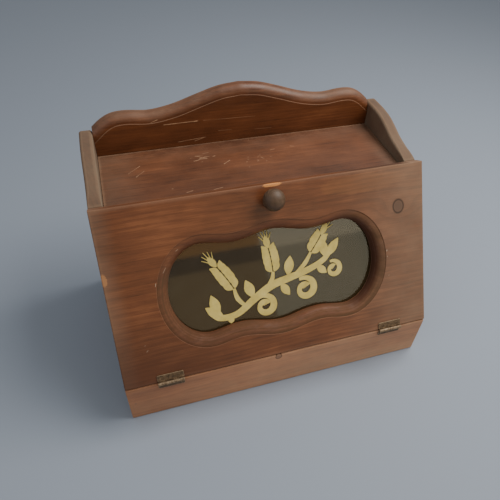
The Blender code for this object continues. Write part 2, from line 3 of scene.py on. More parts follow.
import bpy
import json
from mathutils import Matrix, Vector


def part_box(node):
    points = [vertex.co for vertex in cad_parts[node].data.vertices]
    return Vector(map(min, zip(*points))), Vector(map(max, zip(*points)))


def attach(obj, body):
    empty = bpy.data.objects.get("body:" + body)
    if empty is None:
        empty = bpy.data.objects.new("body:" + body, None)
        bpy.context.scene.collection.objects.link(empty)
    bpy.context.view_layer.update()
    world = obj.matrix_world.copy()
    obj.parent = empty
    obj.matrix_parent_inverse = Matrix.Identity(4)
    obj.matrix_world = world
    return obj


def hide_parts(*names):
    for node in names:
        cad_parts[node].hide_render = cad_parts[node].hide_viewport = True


# %% [markdown]
# # A bread box with a drop-front door
#
# The frame holds every board, hinge and screw at its real size and place. This lesson gives them their
# looks. The boards that show are built again with soft, sanded edges, and each surface gets a finish made
# of shader nodes: stained pine with grain, knots, dust and scratches, tarnished brass, dark turned wood
# and old glass.

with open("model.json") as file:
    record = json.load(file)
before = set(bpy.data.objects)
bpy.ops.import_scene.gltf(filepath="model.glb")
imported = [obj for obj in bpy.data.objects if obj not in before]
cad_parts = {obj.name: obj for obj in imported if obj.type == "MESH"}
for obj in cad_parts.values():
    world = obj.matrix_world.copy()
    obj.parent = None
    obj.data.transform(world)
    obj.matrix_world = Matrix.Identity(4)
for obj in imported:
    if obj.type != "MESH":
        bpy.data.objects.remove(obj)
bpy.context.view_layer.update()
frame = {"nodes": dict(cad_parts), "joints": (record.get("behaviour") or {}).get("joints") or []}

import json
import random
from math import atan2, cos, hypot, pi, radians, sin, tau

import bmesh
import bpy
from mathutils import Matrix, Vector

MM = 0.001
print("nodes in the frame:", len(frame["nodes"]))

# %% [markdown]
# ## Where things are
#
# Every place below is read from the frame, so nothing has to be fitted by eye. The door leans back, so it
# gets a frame of its own: X along the box, Y into the wood and Z up the slope, with zero on the hinge
# pin. The lean itself is read off the window pane, whose broad face is parallel to the door.

# %% Places and sizes
joint = frame["joints"][0]
PIN = Vector(joint["pos_m"])
pane = frame["nodes"]["window_glass"].data
broad = max(pane.polygons, key=lambda face: face.area).normal
LEAN = atan2(abs(broad.z), abs(broad.y))
DOOR_FRAME = Matrix.Translation(PIN) @ Matrix.Rotation(-LEAN, 4, "X")


def leaning_box(node):
    """The lowest and highest corner of a node in the door's own frame."""
    back = DOOR_FRAME.inverted()
    points = [back @ vertex.co for vertex in frame["nodes"][node].data.vertices]
    low = Vector([min(point[axis] for point in points) for axis in range(3)])
    high = Vector([max(point[axis] for point in points) for axis in range(3)])
    return low, high


door_low, door_high = leaning_box("door_panel")
glass_low, glass_high = leaning_box("window_glass")
shelf_low, shelf_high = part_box("top_shelf")
gallery_low, gallery_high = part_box("gallery_back")
rail_low, rail_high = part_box("base_rail")
right_low, right_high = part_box("right_side")
HALF = right_high.x
INNER = right_low.x
BOARD = HALF - INNER
REAR = right_high.y
SHELF_TOP = shelf_high.z
GALLERY_FRONT = gallery_low.y
DOOR_LENGTH = door_high.z - door_low.z
print(f"lean {LEAN:.4f} rad, door {DOOR_LENGTH:.4f} m up its slope, boards {BOARD:.4f} m")

# %% [markdown]
# ## The camera
#
# The box is seen from above its left front corner. The camera is placed as a person would place it: an
# aim point, a direction round the box, a height above the horizon, a distance, and a slight tilt of the
# hand.

# %% Make the camera
AZIMUTH, ELEVATION, TILT = radians(-20.26), radians(45.1), radians(4.15)
DISTANCE = 0.649
AIM = Vector((0.0024, -0.010, 0.1452))
away = Vector((sin(AZIMUTH) * cos(ELEVATION), -cos(AZIMUTH) * cos(ELEVATION), sin(ELEVATION)))
camera = bpy.data.objects.new("camera", bpy.data.cameras.new("camera"))
bpy.context.scene.collection.objects.link(camera)
camera.rotation_mode = "QUATERNION"
camera.location = AIM + away * DISTANCE
level = (-away).to_track_quat("-Z", "Y")
camera.rotation_quaternion = level @ Matrix.Rotation(TILT, 3, "Z").to_quaternion()
camera.data.lens = 35.08
camera.data.shift_x = -0.03
camera.data.clip_start, camera.data.clip_end = 0.01, 60
bpy.context.scene.camera = camera
print("camera at", [round(value, 3) for value in camera.location])

# %% [markdown]
# ## The stage and the light
#
# The box stands on a pale blue-grey sweep under soft light. A broad lamp from above on the right gives
# the boards their direction, and a weaker one fills from the left. Glass shows itself mostly by what it
# mirrors, so four dim cards stand in front, like a bright wall, a brown cupboard and the dark gap below
# it.


# %% Floor and lamps
def plain_material(name, colour, roughness):
    """A stage material; the object's own finishes are made further down."""
    made = bpy.data.materials.new(name)
    made.use_nodes = True
    shader = made.node_tree.nodes["Principled BSDF"]
    shader.inputs["Base Color"].default_value = (*colour, 1)
    shader.inputs["Roughness"].default_value = roughness
    return made


def lamp(name, place, aim, size, power, colour):
    """A rectangular soft lamp at a place, looking at an aim point."""
    data = bpy.data.lights.new(name, "AREA")
    data.shape = "RECTANGLE"
    data.size, data.size_y = size
    data.energy = power
    data.color = colour
    made = bpy.data.objects.new(name, data)
    bpy.context.scene.collection.objects.link(made)
    made.location = place
    made.rotation_euler = (Vector(aim) - Vector(place)).to_track_quat("-Z", "Y").to_euler()
    made.visible_camera = False
    return made


CARD_Y = -2.0
FLOOR_BLUE = (0.315, 0.370, 0.455)
FLOOR_REACH = 30


def card(name, left, right, low, high, glow, colour):
    """An upright glowing card across the front; its glow is its brightness, whatever its size."""
    place = ((left + right) / 2, CARD_Y, (low + high) / 2)
    size = (right - left, high - low)
    lamp(name, place, (place[0], 0, place[2]), size, glow * pi * size[0] * size[1], colour)


floor_mesh = bpy.data.meshes.new("floor")
floor_corners = [(x * FLOOR_REACH, y * FLOOR_REACH, 0) for x, y in ((-1, -1), (1, -1), (1, 1), (-1, 1))]
floor_mesh.from_pydata(floor_corners, [], [(0, 1, 2, 3)])
floor = bpy.data.objects.new("floor", floor_mesh)
bpy.context.scene.collection.objects.link(floor)
floor.location.z = -0.2 * MM
floor_mesh.materials.append(plain_material("pale_floor", FLOOR_BLUE, 0.75))

world = bpy.data.worlds.new("soft_room")
world.use_nodes = True
room_light = world.node_tree.nodes["Background"]
room_light.inputs["Color"].default_value = (0.96, 0.94, 0.92, 1)
room_light.inputs["Strength"].default_value = 0.34
bpy.context.scene.world = world

lamp("key", (0.68, -0.05, 1.22), (0, -0.05, 0.1), (0.9, 0.8), 17, (1.0, 0.95, 0.88))
lamp("fill", (-1.3, -0.6, 1.2), (-0.2, 0, 0), (1.2, 1.0), 3.5, (0.92, 0.96, 1.0))
card("bright_wall", 0.48, 1.45, 0.64, 0.95, 2.3, (1.0, 0.89, 0.60))
card("dim_wall", 0.48, 1.45, 0.15, 0.64, 1.15, (1.0, 0.96, 0.66))
card("brown_cupboard", -0.5, 0.478, 0.672, 0.95, 1.25, (1.0, 0.46, 0.09))
card("low_cupboard", -0.5, 0.478, 0.15, 0.582, 0.55, (1.0, 0.70, 0.28))
print("stage and lamps are up")

# %% [markdown]
# ## Shader maths that reads like maths
#
# A finish is worked out from a point's place on its board: stretched noise for fibres, distances for
# knots and worn edges. Written as separate nodes that is hard to follow, so a small class wraps a socket
# and lets plain Python operators add the Math nodes. Every other node comes from one method that takes
# its type, its settings and its inputs.


# %% The socket class and the node maker
class Value:
    """An output socket with arithmetic: each operator adds one Math node."""

    def __init__(self, paint, socket):
        self.paint = paint
        self.socket = socket

    def maths(self, operation, *others):
        return self.paint.node("ShaderNodeMath", {"operation": operation}, [self, *others])

    def __add__(self, other):
        return self.maths("ADD", other)

    def __radd__(self, other):
        return self.maths("ADD", other)

    def __sub__(self, other):
        return self.maths("SUBTRACT", other)

    def __rsub__(self, other):
        return self.paint.node("ShaderNodeMath", {"operation": "SUBTRACT"}, [other, self])

    def __mul__(self, other):
        return self.maths("MULTIPLY", other)

    def __rmul__(self, other):
        return self.maths("MULTIPLY", other)

    def __truediv__(self, other):
        return self.maths("DIVIDE", other)

    def __pow__(self, other):
        return self.maths("POWER", other)

    def at_most(self, other):
        return self.maths("MINIMUM", other)

    def at_least(self, other):
        return self.maths("MAXIMUM", other)

    def size(self):
        return self.maths("ABSOLUTE")

    def fraction(self):
        return self.maths("FRACT")

    def smooth(self, start, end, low=0.0, high=1.0):
        """Goes smoothly from low to high as the value passes from start to end."""
        settings = {"interpolation_type": "SMOOTHSTEP"}
        names = {"Value": self, "From Min": start, "From Max": end, "To Min": low, "To Max": high}
        return self.paint.node("ShaderNodeMapRange", settings, names)


class Paint:
    """One material being built: its nodes, its Principled shader and its places."""

    def __init__(self, name):
        self.material = bpy.data.materials.new(name)
        self.material.use_nodes = True
        self.tree = self.material.node_tree
        self.shader = self.tree.nodes["Principled BSDF"]

    def put(self, socket, value):
        """Links a Value to a socket, or sets a plain number or colour on it."""
        if isinstance(value, Value):
            self.tree.links.new(value.socket, socket)
        elif isinstance(value, tuple) and len(value) == 3 and socket.type == "RGBA":
            socket.default_value = (*value, 1)
        else:
            socket.default_value = value

    def node(self, kind, settings=None, inputs=(), output=0):
        """Any node: its settings first, then the values or links of its sockets."""
        made = self.tree.nodes.new(kind)
        for name, value in (settings or {}).items():
            if name == "stops":
                self.set_stops(made.color_ramp, value)
            else:
                setattr(made, name, value)
        pairs = inputs.items() if isinstance(inputs, dict) else enumerate(inputs)
        for key, value in pairs:
            self.put(made.inputs[key], value)
        return Value(self, made.outputs[output])

    @staticmethod
    def set_stops(ramp, stops):
        while len(ramp.elements) < len(stops):
            ramp.elements.new(0.5)
        for element, (place, colour) in zip(ramp.elements, stops):
            element.position = place
            element.color = (*colour, 1)

    def place(self):
        """The point's place in the piece's own frame, as X, Y and Z values in metres."""
        self.point = self.node("ShaderNodeTexCoord", output=3)
        split = self.tree.nodes.new("ShaderNodeSeparateXYZ")
        self.tree.links.new(self.point.socket, split.inputs[0])
        return [Value(self, output) for output in split.outputs]

    def vector(self, x=0.0, y=0.0, z=0.0):
        return self.node("ShaderNodeCombineXYZ", inputs=[x, y, z])

    def noise(self, vector, scale=1.0, detail=2.0, roughness=0.5, seed=0.0):
        """Noise around 0.5, in four dimensions so that a seed gives a board its own pattern."""
        inputs = {"Vector": vector, "W": seed, "Scale": scale, "Detail": detail, "Roughness": roughness}
        return self.node("ShaderNodeTexNoise", {"noise_dimensions": "4D"}, inputs)

    def ramp(self, value, stops):
        return self.node("ShaderNodeValToRGB", {"stops": stops}, [value])

    def mix(self, share, first, second, how="MIX"):
        """A colour between two colours, by a share."""
        made = self.tree.nodes.new("ShaderNodeMix")
        made.data_type = "RGBA"
        made.blend_type = how
        for index, value in ((0, share), (6, first), (7, second)):
            self.put(made.inputs[index], value)
        return Value(self, made.outputs[2])

    def facing_up(self):
        """How far the surface faces up, from -1 to 1."""
        return self.node("ShaderNodeSeparateXYZ", None, [self.node("ShaderNodeTexCoord", output=1)], 2)

    def attribute(self, name):
        """A number stored on the mesh's points."""
        return self.node("ShaderNodeAttribute", {"attribute_name": name}, output=2)

    def bump(self, height, strength, distance):
        inputs = {"Height": height, "Strength": strength, "Distance": distance}
        return self.node("ShaderNodeBump", None, inputs)

    def finish(self, **sockets):
        """Sets or links the Principled shader's sockets, named with underscores for spaces."""
        for name, value in sockets.items():
            self.put(self.shader.inputs[name.replace("_", " ")], value)
        return self.material


print("ready to paint")

# %% [markdown]
# ## Stained pine
#
# Pine has wide, soft growth rings. Where a board is sawn, the rings show as long streaks that bend round
# knots. A red-brown stain soaks into the soft early wood and leaves the hard late wood as fine lines.
# Years of use then rub the edges pale, leave dust in the corners and draw light scratches across the
# varnish.
#
# The rings are made from distance, as in the tree: how far a point lies from the tree's heart, warped by
# slow noise along the board. Each knot pushes the rings aside with a soft bell of its own. Fibres are the
# same noise pulled long along the grain at a much finer scale.


# %% Grain, knots and fibres
RING = 5.5 * MM


def bell(paint, squared):
    """1 where a squared distance is 0, fading softly as it grows past 1."""
    return paint.node("ShaderNodeMath", {"operation": "EXPONENT"}, [squared * -1.0])


def swell(paint, along, across, centre, reach_along, reach_across):
    """A soft bell, 1 at a centre and fading over a reach, for knots, dust and wear."""
    a = (along - centre[0]) / reach_along
    b = (across - centre[1]) / reach_across
    return bell(paint, a * a + b * b)


def pulled(paint, place, lengthwise, crosswise, detail, roughness, seed):
    """Noise pulled long along the grain; the two scales are per metre, along the grain and across it."""
    along, across, through = place
    vector = paint.vector(along * lengthwise, across * crosswise, through * crosswise)
    return paint.noise(vector, 1, detail, roughness, seed)


def wood_grain(paint, place, seed, heart, knots=()):
    """Growth rings, fibres and knots at a place: along the grain, across the board and through it."""
    along, across, through = place
    wave = pulled(paint, place, 2.2, 9, 2, 0.5, seed) - 0.5
    drift = pulled(paint, place, 5, 30, 3, 0.55, seed + 3) - 0.5
    side = across - heart[0] + wave * 0.055 + drift * 0.010
    depth = through + heart[1] + wave * 0.02
    for centre, radius in knots:
        push = swell(paint, along, across, centre, radius * 3.4, radius * 1.9)
        side = side + push * (across - centre[1]) * -0.5
        depth = depth + push * radius * 1.6
    far = (side * side + depth * depth) ** 0.5
    turn = (far / RING).fraction()
    late = turn.smooth(0.25, 0.9) * (1 - turn.smooth(0.9, 1.0))
    fibre = pulled(paint, place, 22, 1100, 3, 0.62, seed + 5)
    streak = pulled(paint, place, 17, 400, 2, 0.6, seed + 8)
    knot_body, knot_rim = 0.0, 0.0
    for centre, radius in knots:
        a = (along - centre[0]) / 0.85
        b = across - centre[1]
        away_from = (a * a + b * b) ** 0.5 / radius
        body = 1 - away_from.smooth(0.75, 1.05)
        rings = (away_from * 3.2 + wave * 2).fraction()
        knot_body = knot_body + body * (0.75 + rings * 0.25)
        knot_rim = knot_rim + away_from.smooth(0.8, 1.0) * (1 - away_from.smooth(1.0, 1.35))
    return late, fibre, streak, knot_body, knot_rim


print("growth rings are", RING / MM, "mm apart")

# %% [markdown]
# Scratches are drawn in the same way: each is a straight stroke on the board, and a point's distance from
# that stroke says whether it is scratched. A little noise breaks the stroke up, as varnish chips do. The
# stroke's ends are places on the board in metres.


# %% Scratches and chips
def stroke(along, across, start, end, width, ragged):
    """1 on a straight scratch from start to end, 0 away from it, broken up by a ragged noise."""
    run, rise = end[0] - start[0], end[1] - start[1]
    length = hypot(run, rise)
    a, b = along - start[0], across - start[1]
    down = (a * run + b * rise) / length
    off = (a * -rise + b * run).size() / length
    inside = down.smooth(-width, width) * (1 - down.smooth(length - width, length + width))
    edge = off + (ragged - 0.5) * width * 2.2
    return inside * (1 - edge.smooth(width * 0.25, width * 0.8))


def strokes(along, across, marks, ragged):
    """The strongest of several scratches, each given as (start, end, width, strength)."""
    drawn = [stroke(along, across, start, end, width, ragged) * strength
             for start, end, width, strength in marks]
    most = drawn[0]
    for one in drawn[1:]:
        most = most.at_least(one)
    return most


print("scratches are ready to be drawn")

# %% [markdown]
# The finish puts these together. The stain's colour goes from a dark red-brown in the late wood to a
# warmer, lighter brown in the early wood. Wear bares the pale wood where the mesh says that an edge is
# exposed, and dust greys the places where a cloth doesn't reach; in places the same pale mix is painted
# sheen and light. A dark mix adds painted shade and smudges.

# %% Stained pine
DEEP = (0.068, 0.0205, 0.0070)
STAIN = (0.176, 0.0565, 0.0195)
WARM = (0.34, 0.124, 0.046)
RUBBED = (0.33, 0.185, 0.105)
BARE_AND_SHEEN = (0.70, 0.29, 0.085)
SCRATCHED = (0.64, 0.40, 0.24)
CHIPPED = (0.62, 0.50, 0.36)
DUST_AND_LIGHT = (0.30, 0.225, 0.155)
GRIME = (0.105, 0.055, 0.026)
PUTTY = (0.095, 0.050, 0.028)
KNOT_RIM = (0.030, 0.017, 0.010)
KNOT_BODY = (0.105, 0.064, 0.044)
LATE_DEPTH = 0.13
MARKS_REACH = 5 * MM


def stained_pine(name, seed, axes, heart, face, tone=1.0, gloss=0.42, warm=0.5, rubbed=0.62, knots=(),
                 plugs=(), bare_and_sheen=(), marks=(), chips=(), dust_and_light=None, grimy=None, darkening=None):
    """Worn, stained and varnished pine.

    axes says which of X, Y and Z run along, across and through the board, and face is how far through it the
    worn face lies. dust_and_light, grimy and darkening all take a paint and the three places, and give a
    share:
    dust_and_light is pale dust and in places painted sheen and light, darkening is painted shade and smudges
    on the door and a plain darker share on the rail and shelf, and bare_and_sheen holds bare patches, one
    of them partly painted sheen.
    """
    paint = Paint(name)
    by_axis = dict(zip("xyz", paint.place()))
    place = [by_axis[axis] for axis in axes]
    along, across, through = place
    late, fibre, streak, knot, rim = wood_grain(paint, place, seed, heart, knots)
    patch = pulled(paint, place, 9, 14, 3, 0.6, seed + 11)
    soft = pulled(paint, place, 60, 60, 4, 0.65, seed + 14)
    blotch = pulled(paint, place, 26, 70, 3, 0.62, seed + 17)
    pores = pulled(paint, place, 70, 800, 1, 0.5, seed + 20).smooth(0.60, 0.72)
    light = warm + (patch - 0.5) * 1.0 + (streak - 0.5) * 0.62 + (fibre - 0.5) * 0.5 - late * LATE_DEPTH
    light = light + (blotch - 0.5) * 0.5 - pores * 0.14
    colour = paint.ramp(light.at_most(1.0).at_least(0.0), [(0.0, DEEP), (0.5, STAIN), (1.0, WARM)])
    wear = paint.attribute("wear")
    worn = (wear * 1.25 + (soft - 0.5) * 0.9 + (streak - 0.5) * 0.5).smooth(0.35, 1.35)
    colour = paint.mix(worn * rubbed, colour, RUBBED)
    off_face = (through.size() - face) / MARKS_REACH
    near_face = bell(paint, off_face * off_face)
    for x, y in plugs:
        far = ((along - x) * (along - x) + (across - y) * (across - y)) ** 0.5
        filled = (1 - far.smooth(1.2 * MM, 1.9 * MM)) * near_face
        colour = paint.mix(filled * 0.75, colour, PUTTY)
    # Bare patches of wood; the door's faint one at the top right is also painted sheen.
    for centre, reach_along, reach_across, strength in bare_and_sheen:
        spot = swell(paint, along, across, centre, reach_along, reach_across) * near_face
        spot = (spot + (soft - 0.5) * 0.5 + (fibre - 0.5) * 0.6).smooth(0.42, 0.62) * strength
        colour = paint.mix(spot, colour, BARE_AND_SHEEN)
    for drawn, tint in ((marks, SCRATCHED), (chips, CHIPPED)):
        if drawn:
            colour = paint.mix(strokes(along, across, drawn, soft) * near_face, colour, tint)
    film = 0.0
    # Pale dust, which in places also stands for painted sheen and painted light.
    if dust_and_light:
        film = dust_and_light(paint, *place) * (0.7 + (patch - 0.5) * 0.9 + (soft - 0.5) * 0.6)
        film = film.at_most(0.9).at_least(0.0)
        colour = paint.mix(film, colour, DUST_AND_LIGHT)
    if knots:
        colour = paint.mix((rim * 0.85).at_most(0.85), colour, KNOT_RIM)
        colour = paint.mix((knot * 0.75).at_most(0.8), colour, KNOT_BODY)
    grime = 0.0
    if grimy:
        contour = paint.noise(paint.vector(along * 4, across * 4, through * 1100), 1, 2, 0.5, seed + 23)
        uneven = (blotch - 0.5) * 2.2 + (soft - 0.5) * 1.0 + (contour - 0.5) * 2.4
        grime = grimy(paint, *place) * (uneven + 0.75)
        grime = grime.at_most(0.9).at_least(0.0)
        colour = paint.mix(grime, colour, GRIME)
    # A dark share: painted shade and smudges on the door, and darker places on the rail and shelf.
    if darkening:
        colour = paint.mix(darkening(paint, *place), colour, DEEP)
    colour = paint.mix(1.0, colour, (tone, tone, tone), "MULTIPLY")
    uneven = (soft - 0.5) * 0.2 + (patch - 0.5) * 0.2
    rough = gloss + uneven + worn * 0.34 + film * 0.7 + grime * 0.7
    height = fibre * 0.35 + streak * 0.4 - late * 0.25 + (1 - worn) * 0.5
    normal = paint.bump(height, 0.35, 0.25 * MM)
    return paint.finish(Base_Color=colour, Roughness=rough.at_most(0.95).at_least(0.2), Normal=normal)


print("stained pine is ready to be mixed for each board")

# %% [markdown]
# ## Boards with sanded edges
#
# A sawn board has sharp corners; a used one never does. The outline of each board is drawn with its
# corners turned into small arcs, and the same arc runs round both ends, so light finds every edge. Next
# to each arc lies a line of support points, which keeps the broad faces flat. A number stored on each
# point, wear, is 1 on the edges and 0 on the faces; the finish reads it to rub the stain away.


# %% Pieces from rings of points
WELD = 0.001 * MM


def new_piece(name, rings, wears, body, material, replaced=(), frame_at=None, closed=False):
    """A piece from closed rings of points, joined one to the next; closed joins the last to the first."""
    bm = bmesh.new()
    bm.verts.layers.float.new("wear")
    add_rings(bm, rings, wears, closed)
    bmesh.ops.remove_doubles(bm, verts=bm.verts, dist=WELD)
    return piece_from(name, bm, body, material, replaced, frame_at)


def add_rings(bm, rings, wears, closed=False):
    """Rings of points joined one to the next in a bmesh, and closed round or covered at both ends."""
    layer = bm.verts.layers.float["wear"]
    made = []
    for ring, ring_wear in zip(rings, wears):
        row = []
        for point, amount in zip(ring, ring_wear):
            vertex = bm.verts.new(point)
            vertex[layer] = amount
            row.append(vertex)
        made.append(row)
    following = made[1:] + made[:1] if closed else made[1:]
    for ring, after in zip(made, following):
        for i, corner in enumerate(ring):
            j = (i + 1) % len(ring)
            bm.faces.new((corner, ring[j], after[j], after[i]))
    if not closed:
        bm.faces.new(made[0])
        bm.faces.new(made[-1])


def piece_from(name, bm, body, material, replaced=(), frame_at=None, sharp=40, weigh=True):
    """The object made of a bmesh, riding on a body and standing for its CAD nodes."""
    bmesh.ops.recalc_face_normals(bm, faces=bm.faces)
    mesh = bpy.data.meshes.new(name)
    bm.to_mesh(mesh)
    bm.free()
    mesh.shade_smooth()
    mesh.set_sharp_from_angle(angle=radians(sharp))
    mesh.materials.append(material)
    made = bpy.data.objects.new(name, mesh)
    bpy.context.scene.collection.objects.link(made)
    if frame_at is not None:
        made.matrix_world = frame_at
    if weigh:
        even = made.modifiers.new("even_faces", "WEIGHTED_NORMAL")
        even.keep_sharp = True
    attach(made, body)
    if replaced:
        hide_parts(*replaced)
    return made


print("rings can be joined into pieces")

# %% [markdown]
# Rounding comes in two directions. Along the outline, each corner becomes an arc. At both ends of the
# sweep, the outline shrinks along its own inward direction while it moves outwards, which turns the same
# arc in depth. A flat ring inside the last arc keeps the end face level.


# %% Soft outlines and rounded ends
def soft_outline(corners, radius, support=5 * MM, steps=4):
    """A closed outline of points (a, b, wear) whose corners are arcs; a corner may hold its own radius."""
    points = []
    count = len(corners)
    for i, corner in enumerate(corners):
        here = Vector(corner[:2])
        own = corner[2] if len(corner) > 2 else radius
        before, after = Vector(corners[i - 1][:2]), Vector(corners[(i + 1) % count][:2])
        to_before, to_after = (before - here), (after - here)
        room_before, room_after = to_before.length, to_after.length
        to_before.normalize()
        to_after.normalize()
        if own <= 0:
            points.append((*here, 0.0))
            continue
        half_angle = to_before.angle(to_after) / 2
        reach = min(own * cos(half_angle) / sin(half_angle), room_before * 0.4, room_after * 0.4)
        if room_before > support * 2.5:
            points.append((*(here + to_before * (reach + support)), 0.0))
        centre = here + (to_before + to_after).normalized() * (reach / cos(half_angle))
        start, end = here + to_before * reach - centre, here + to_after * reach - centre
        sweep = pi - 2 * half_angle
        for step in range(steps + 1):
            t = step / steps
            on = centre + (start * sin((1 - t) * sweep) + end * sin(t * sweep)) / sin(sweep)
            points.append((*on, 1.0))
        if room_after > support * 2.5:
            points.append((*(here + to_after * (reach + support)), 0.0))
    return points


def inward(points):
    """The inward direction at each point of a closed outline, from its neighbours."""
    area = sum(a[0] * b[1] - b[0] * a[1] for a, b in zip(points, points[1:] + points[:1]))
    turn = 1 if area > 0 else -1
    made = []
    for i in range(len(points)):
        before, here, after = [Vector(points[(i + k) % len(points)][:2]) for k in (-1, 0, 1)]
        first, second = (here - before).normalized(), (after - here).normalized()
        normal = Vector((-(first.y + second.y), first.x + second.x)) * turn
        length = normal.length
        made.append(normal / length / max(0.5, length / 2) if length > 1e-9 else Vector((0, 0)))
    return made


def end_rings(outline, end, way, radius, place, steps=5, support=5 * MM, flat=0.5 * MM, radius_at=None):
    """Rings of an outline from an end face, round its arc, to the side; way is 1 or -1, into the board."""
    directions = inward(outline)
    rings, wears = [], []
    levels = [("flat", flat)] + [("arc", k / steps) for k in range(steps + 1)] + [("side", support)]
    for kind, amount in levels:
        ring, ring_wear = [], []
        for point, direction in zip(outline, directions):
            r = radius_at(point) if radius_at else radius
            if kind == "flat":
                inset, shift, worn = r + amount, 0.0, 0.0
            elif kind == "side":
                inset, shift, worn = 0.0, r + amount, point[2]
            else:
                turn = pi / 2 * amount
                inset, shift, worn = r * (1 - sin(turn)), r * (1 - cos(turn)), 1.0
            a, b = Vector(point[:2]) + direction * inset
            ring.append(place(a, b, end + way * shift))
            ring_wear.append(worn)
        rings.append(ring)
        wears.append(ring_wear)
    return rings, wears


def board_rings(outline, low, high, radius, place, **how):
    """Rings of an outline swept from low to high, with an arc of the radius at both ends."""
    first, first_wear = end_rings(outline, low, 1, radius, place, **how)
    last, last_wear = end_rings(outline, high, -1, radius, place, **how)
    return first + last[::-1], first_wear + last_wear[::-1]


def across_x(y, z, x):
    return (x, y, z)


print("outlines have soft corners and ends")

# %% [markdown]
# Two more helpers: one cuts a box out of a finished piece, for screw slots, and one draws a smooth curve
# through a few points. The curve is a Catmull-Rom spline, which passes through every point it is given.


# %% Slots and smooth lines
def cut(piece, low, high, frame_at):
    """Cuts a box between two corners out of a piece, for good."""
    bm = bmesh.new()
    bmesh.ops.create_cube(bm, size=1)
    for vertex in bm.verts:
        vertex.co = Vector([high[i] if vertex.co[i] > 0 else low[i] for i in range(3)])
    bmesh.ops.recalc_face_normals(bm, faces=bm.faces)
    mesh = bpy.data.meshes.new("cutter")
    bm.to_mesh(mesh)
    bm.free()
    tool = bpy.data.objects.new("cutter", mesh)
    bpy.context.scene.collection.objects.link(tool)
    tool.matrix_world = frame_at
    modifier = piece.modifiers.new("cut", "BOOLEAN")
    modifier.object = tool
    modifier.solver = "EXACT"
    piece.modifiers.move(len(piece.modifiers) - 1, 0)
    graph = bpy.context.evaluated_depsgraph_get()
    graph.update()
    kept = bpy.data.meshes.new_from_object(piece.evaluated_get(graph))
    piece.modifiers.clear()
    piece.data = kept
    bpy.data.objects.remove(tool)


def smooth_line(points, per_gap):
    """Points on the smooth curve through a list of points, closed if the last equals the first."""
    closed = (Vector(points[0]) - Vector(points[-1])).length < 1e-9
    knots = [Vector(point) for point in points]
    count = len(knots) - 1
    made = []
    for i in range(count):
        a = knots[(i - 1) % count] if closed else knots[max(i - 1, 0)]
        d = knots[(i + 2) % count] if closed else knots[min(i + 2, count)]
        b, c = knots[i], knots[i + 1]
        for step in range(per_gap):
            t = step / per_gap
            rise, bend, twist = c - a, a * 2 - b * 5 + c * 4 - d, b * 3 - a - c * 3 + d
            made.append(((b * 2) + rise * t + bend * t**2 + twist * t**3) / 2)
    if not closed:
        made.append(knots[-1])
    return made


print("slots and smooth lines are ready")

# %% [markdown]
# ## The finishes of the six stained boards
#
# Five mixes serve six boards, as the two sides share one. Each mix gets its own seed, so no two share a
# figure, and its own history. The door has a dark knot on its right, nicks round the window and a patch
# rubbed bare above the knob, where a thumb lifts it. The shelf carries scratches from whatever was put
# down on it.
#
# First come the places where dust, grime, painted light and painted shade gather. Each is a share from 0 to
# 1, worked out from the place on the board. Dust greys the wood and in places is painted sheen and light as
# well, grime dulls the moulding round the window, and the darkening is painted shade at the door's lower left
# and in the window's right end, smudges round the knob and by the hinge, and darker places on rail and shelf.

# %% Where dust, grime, painted light and painted shade gather
door_top = door_high.z
WINDOW_MIDDLE = (glass_low.z + glass_high.z) / 2


def door_dust_and_sheen(paint, along, across, through):
    """Pale at both ends of the door, most at the right: dust, and towards the right end painted sheen from
    the lamp.
    """
    left = (along * -1.0).smooth(HALF - 26 * MM, HALF)
    # Towards the right end the pale share is painted sheen as well as dust.
    right = along.smooth(HALF - 150 * MM, HALF)
    return (left * 0.4 + right * 0.55).at_most(1.0)


def above_rear(through):
    """1 in the thickness of the door, 0 at its back."""
    return 1 - through.smooth(door_high.y - 2.4 * MM, door_high.y - 1.2 * MM)


def door_shade_and_smudges(paint, along, across, through):
    """Painted shade at the lower left and deep in the window's right end, smudges round the knob and right
    hinge.
    """
    # painted shade, growing towards the door's lower left
    low = 1 - across.smooth(door_low.z, door_low.z + 130 * MM)
    left = 1 - along.smooth(-HALF, 60 * MM)
    # painted shade on the window's right wall, which faces away from the main lamp
    deep = through.smooth(door_low.y + 1.2 * MM, door_low.y + 6 * MM) * along.smooth(82 * MM, 112 * MM)
    window_wall_shade = deep * (1 - along.smooth(HALF - 25 * MM, HALF - 20 * MM)) * above_rear(through)
    handled = swell(paint, along, across, (14 * MM, door_top - 27 * MM), 20 * MM, 9 * MM) * 0.24
    oiled = swell(paint, along, across, (128 * MM, door_low.z + 24 * MM), 15 * MM, 8 * MM) * 0.26
    return low * left * 0.68 + window_wall_shade * 0.86 + handled + oiled


def rail_left_darkening(paint, along, across, through):
    """The rail is darker towards its left end."""
    return (1 - along.smooth(-HALF, -30 * MM)) * 0.30


def shelf_dust(paint, along, across, through):
    """A little everywhere, and more in the corners by the sides."""
    back = across.smooth(GALLERY_FRONT - 45 * MM, GALLERY_FRONT)
    left = (along * -1.0).smooth(INNER - 60 * MM, INNER)
    right = along.smooth(INNER - 30 * MM, INNER) * 0.6
    return (back * 0.12 + left * 0.26 + right * 0.5 + 0.06).at_most(1.0)


def shelf_back_darkening(paint, along, across, through):
    """A dark, uneven strip along the back of the shelf, by the gallery."""
    back = across.smooth(GALLERY_FRONT - 30 * MM, GALLERY_FRONT - 10 * MM)
    uneven = paint.noise(paint.vector(along * 40, across * 90, 0.0), 1, 4, 0.65, 31.0).smooth(0.36, 0.66)
    ends = along.smooth(-INNER + 8 * MM, -INNER + 45 * MM) * (1 - along.smooth(40 * MM, INNER) * 0.6)
    return back * uneven * ends * 0.55


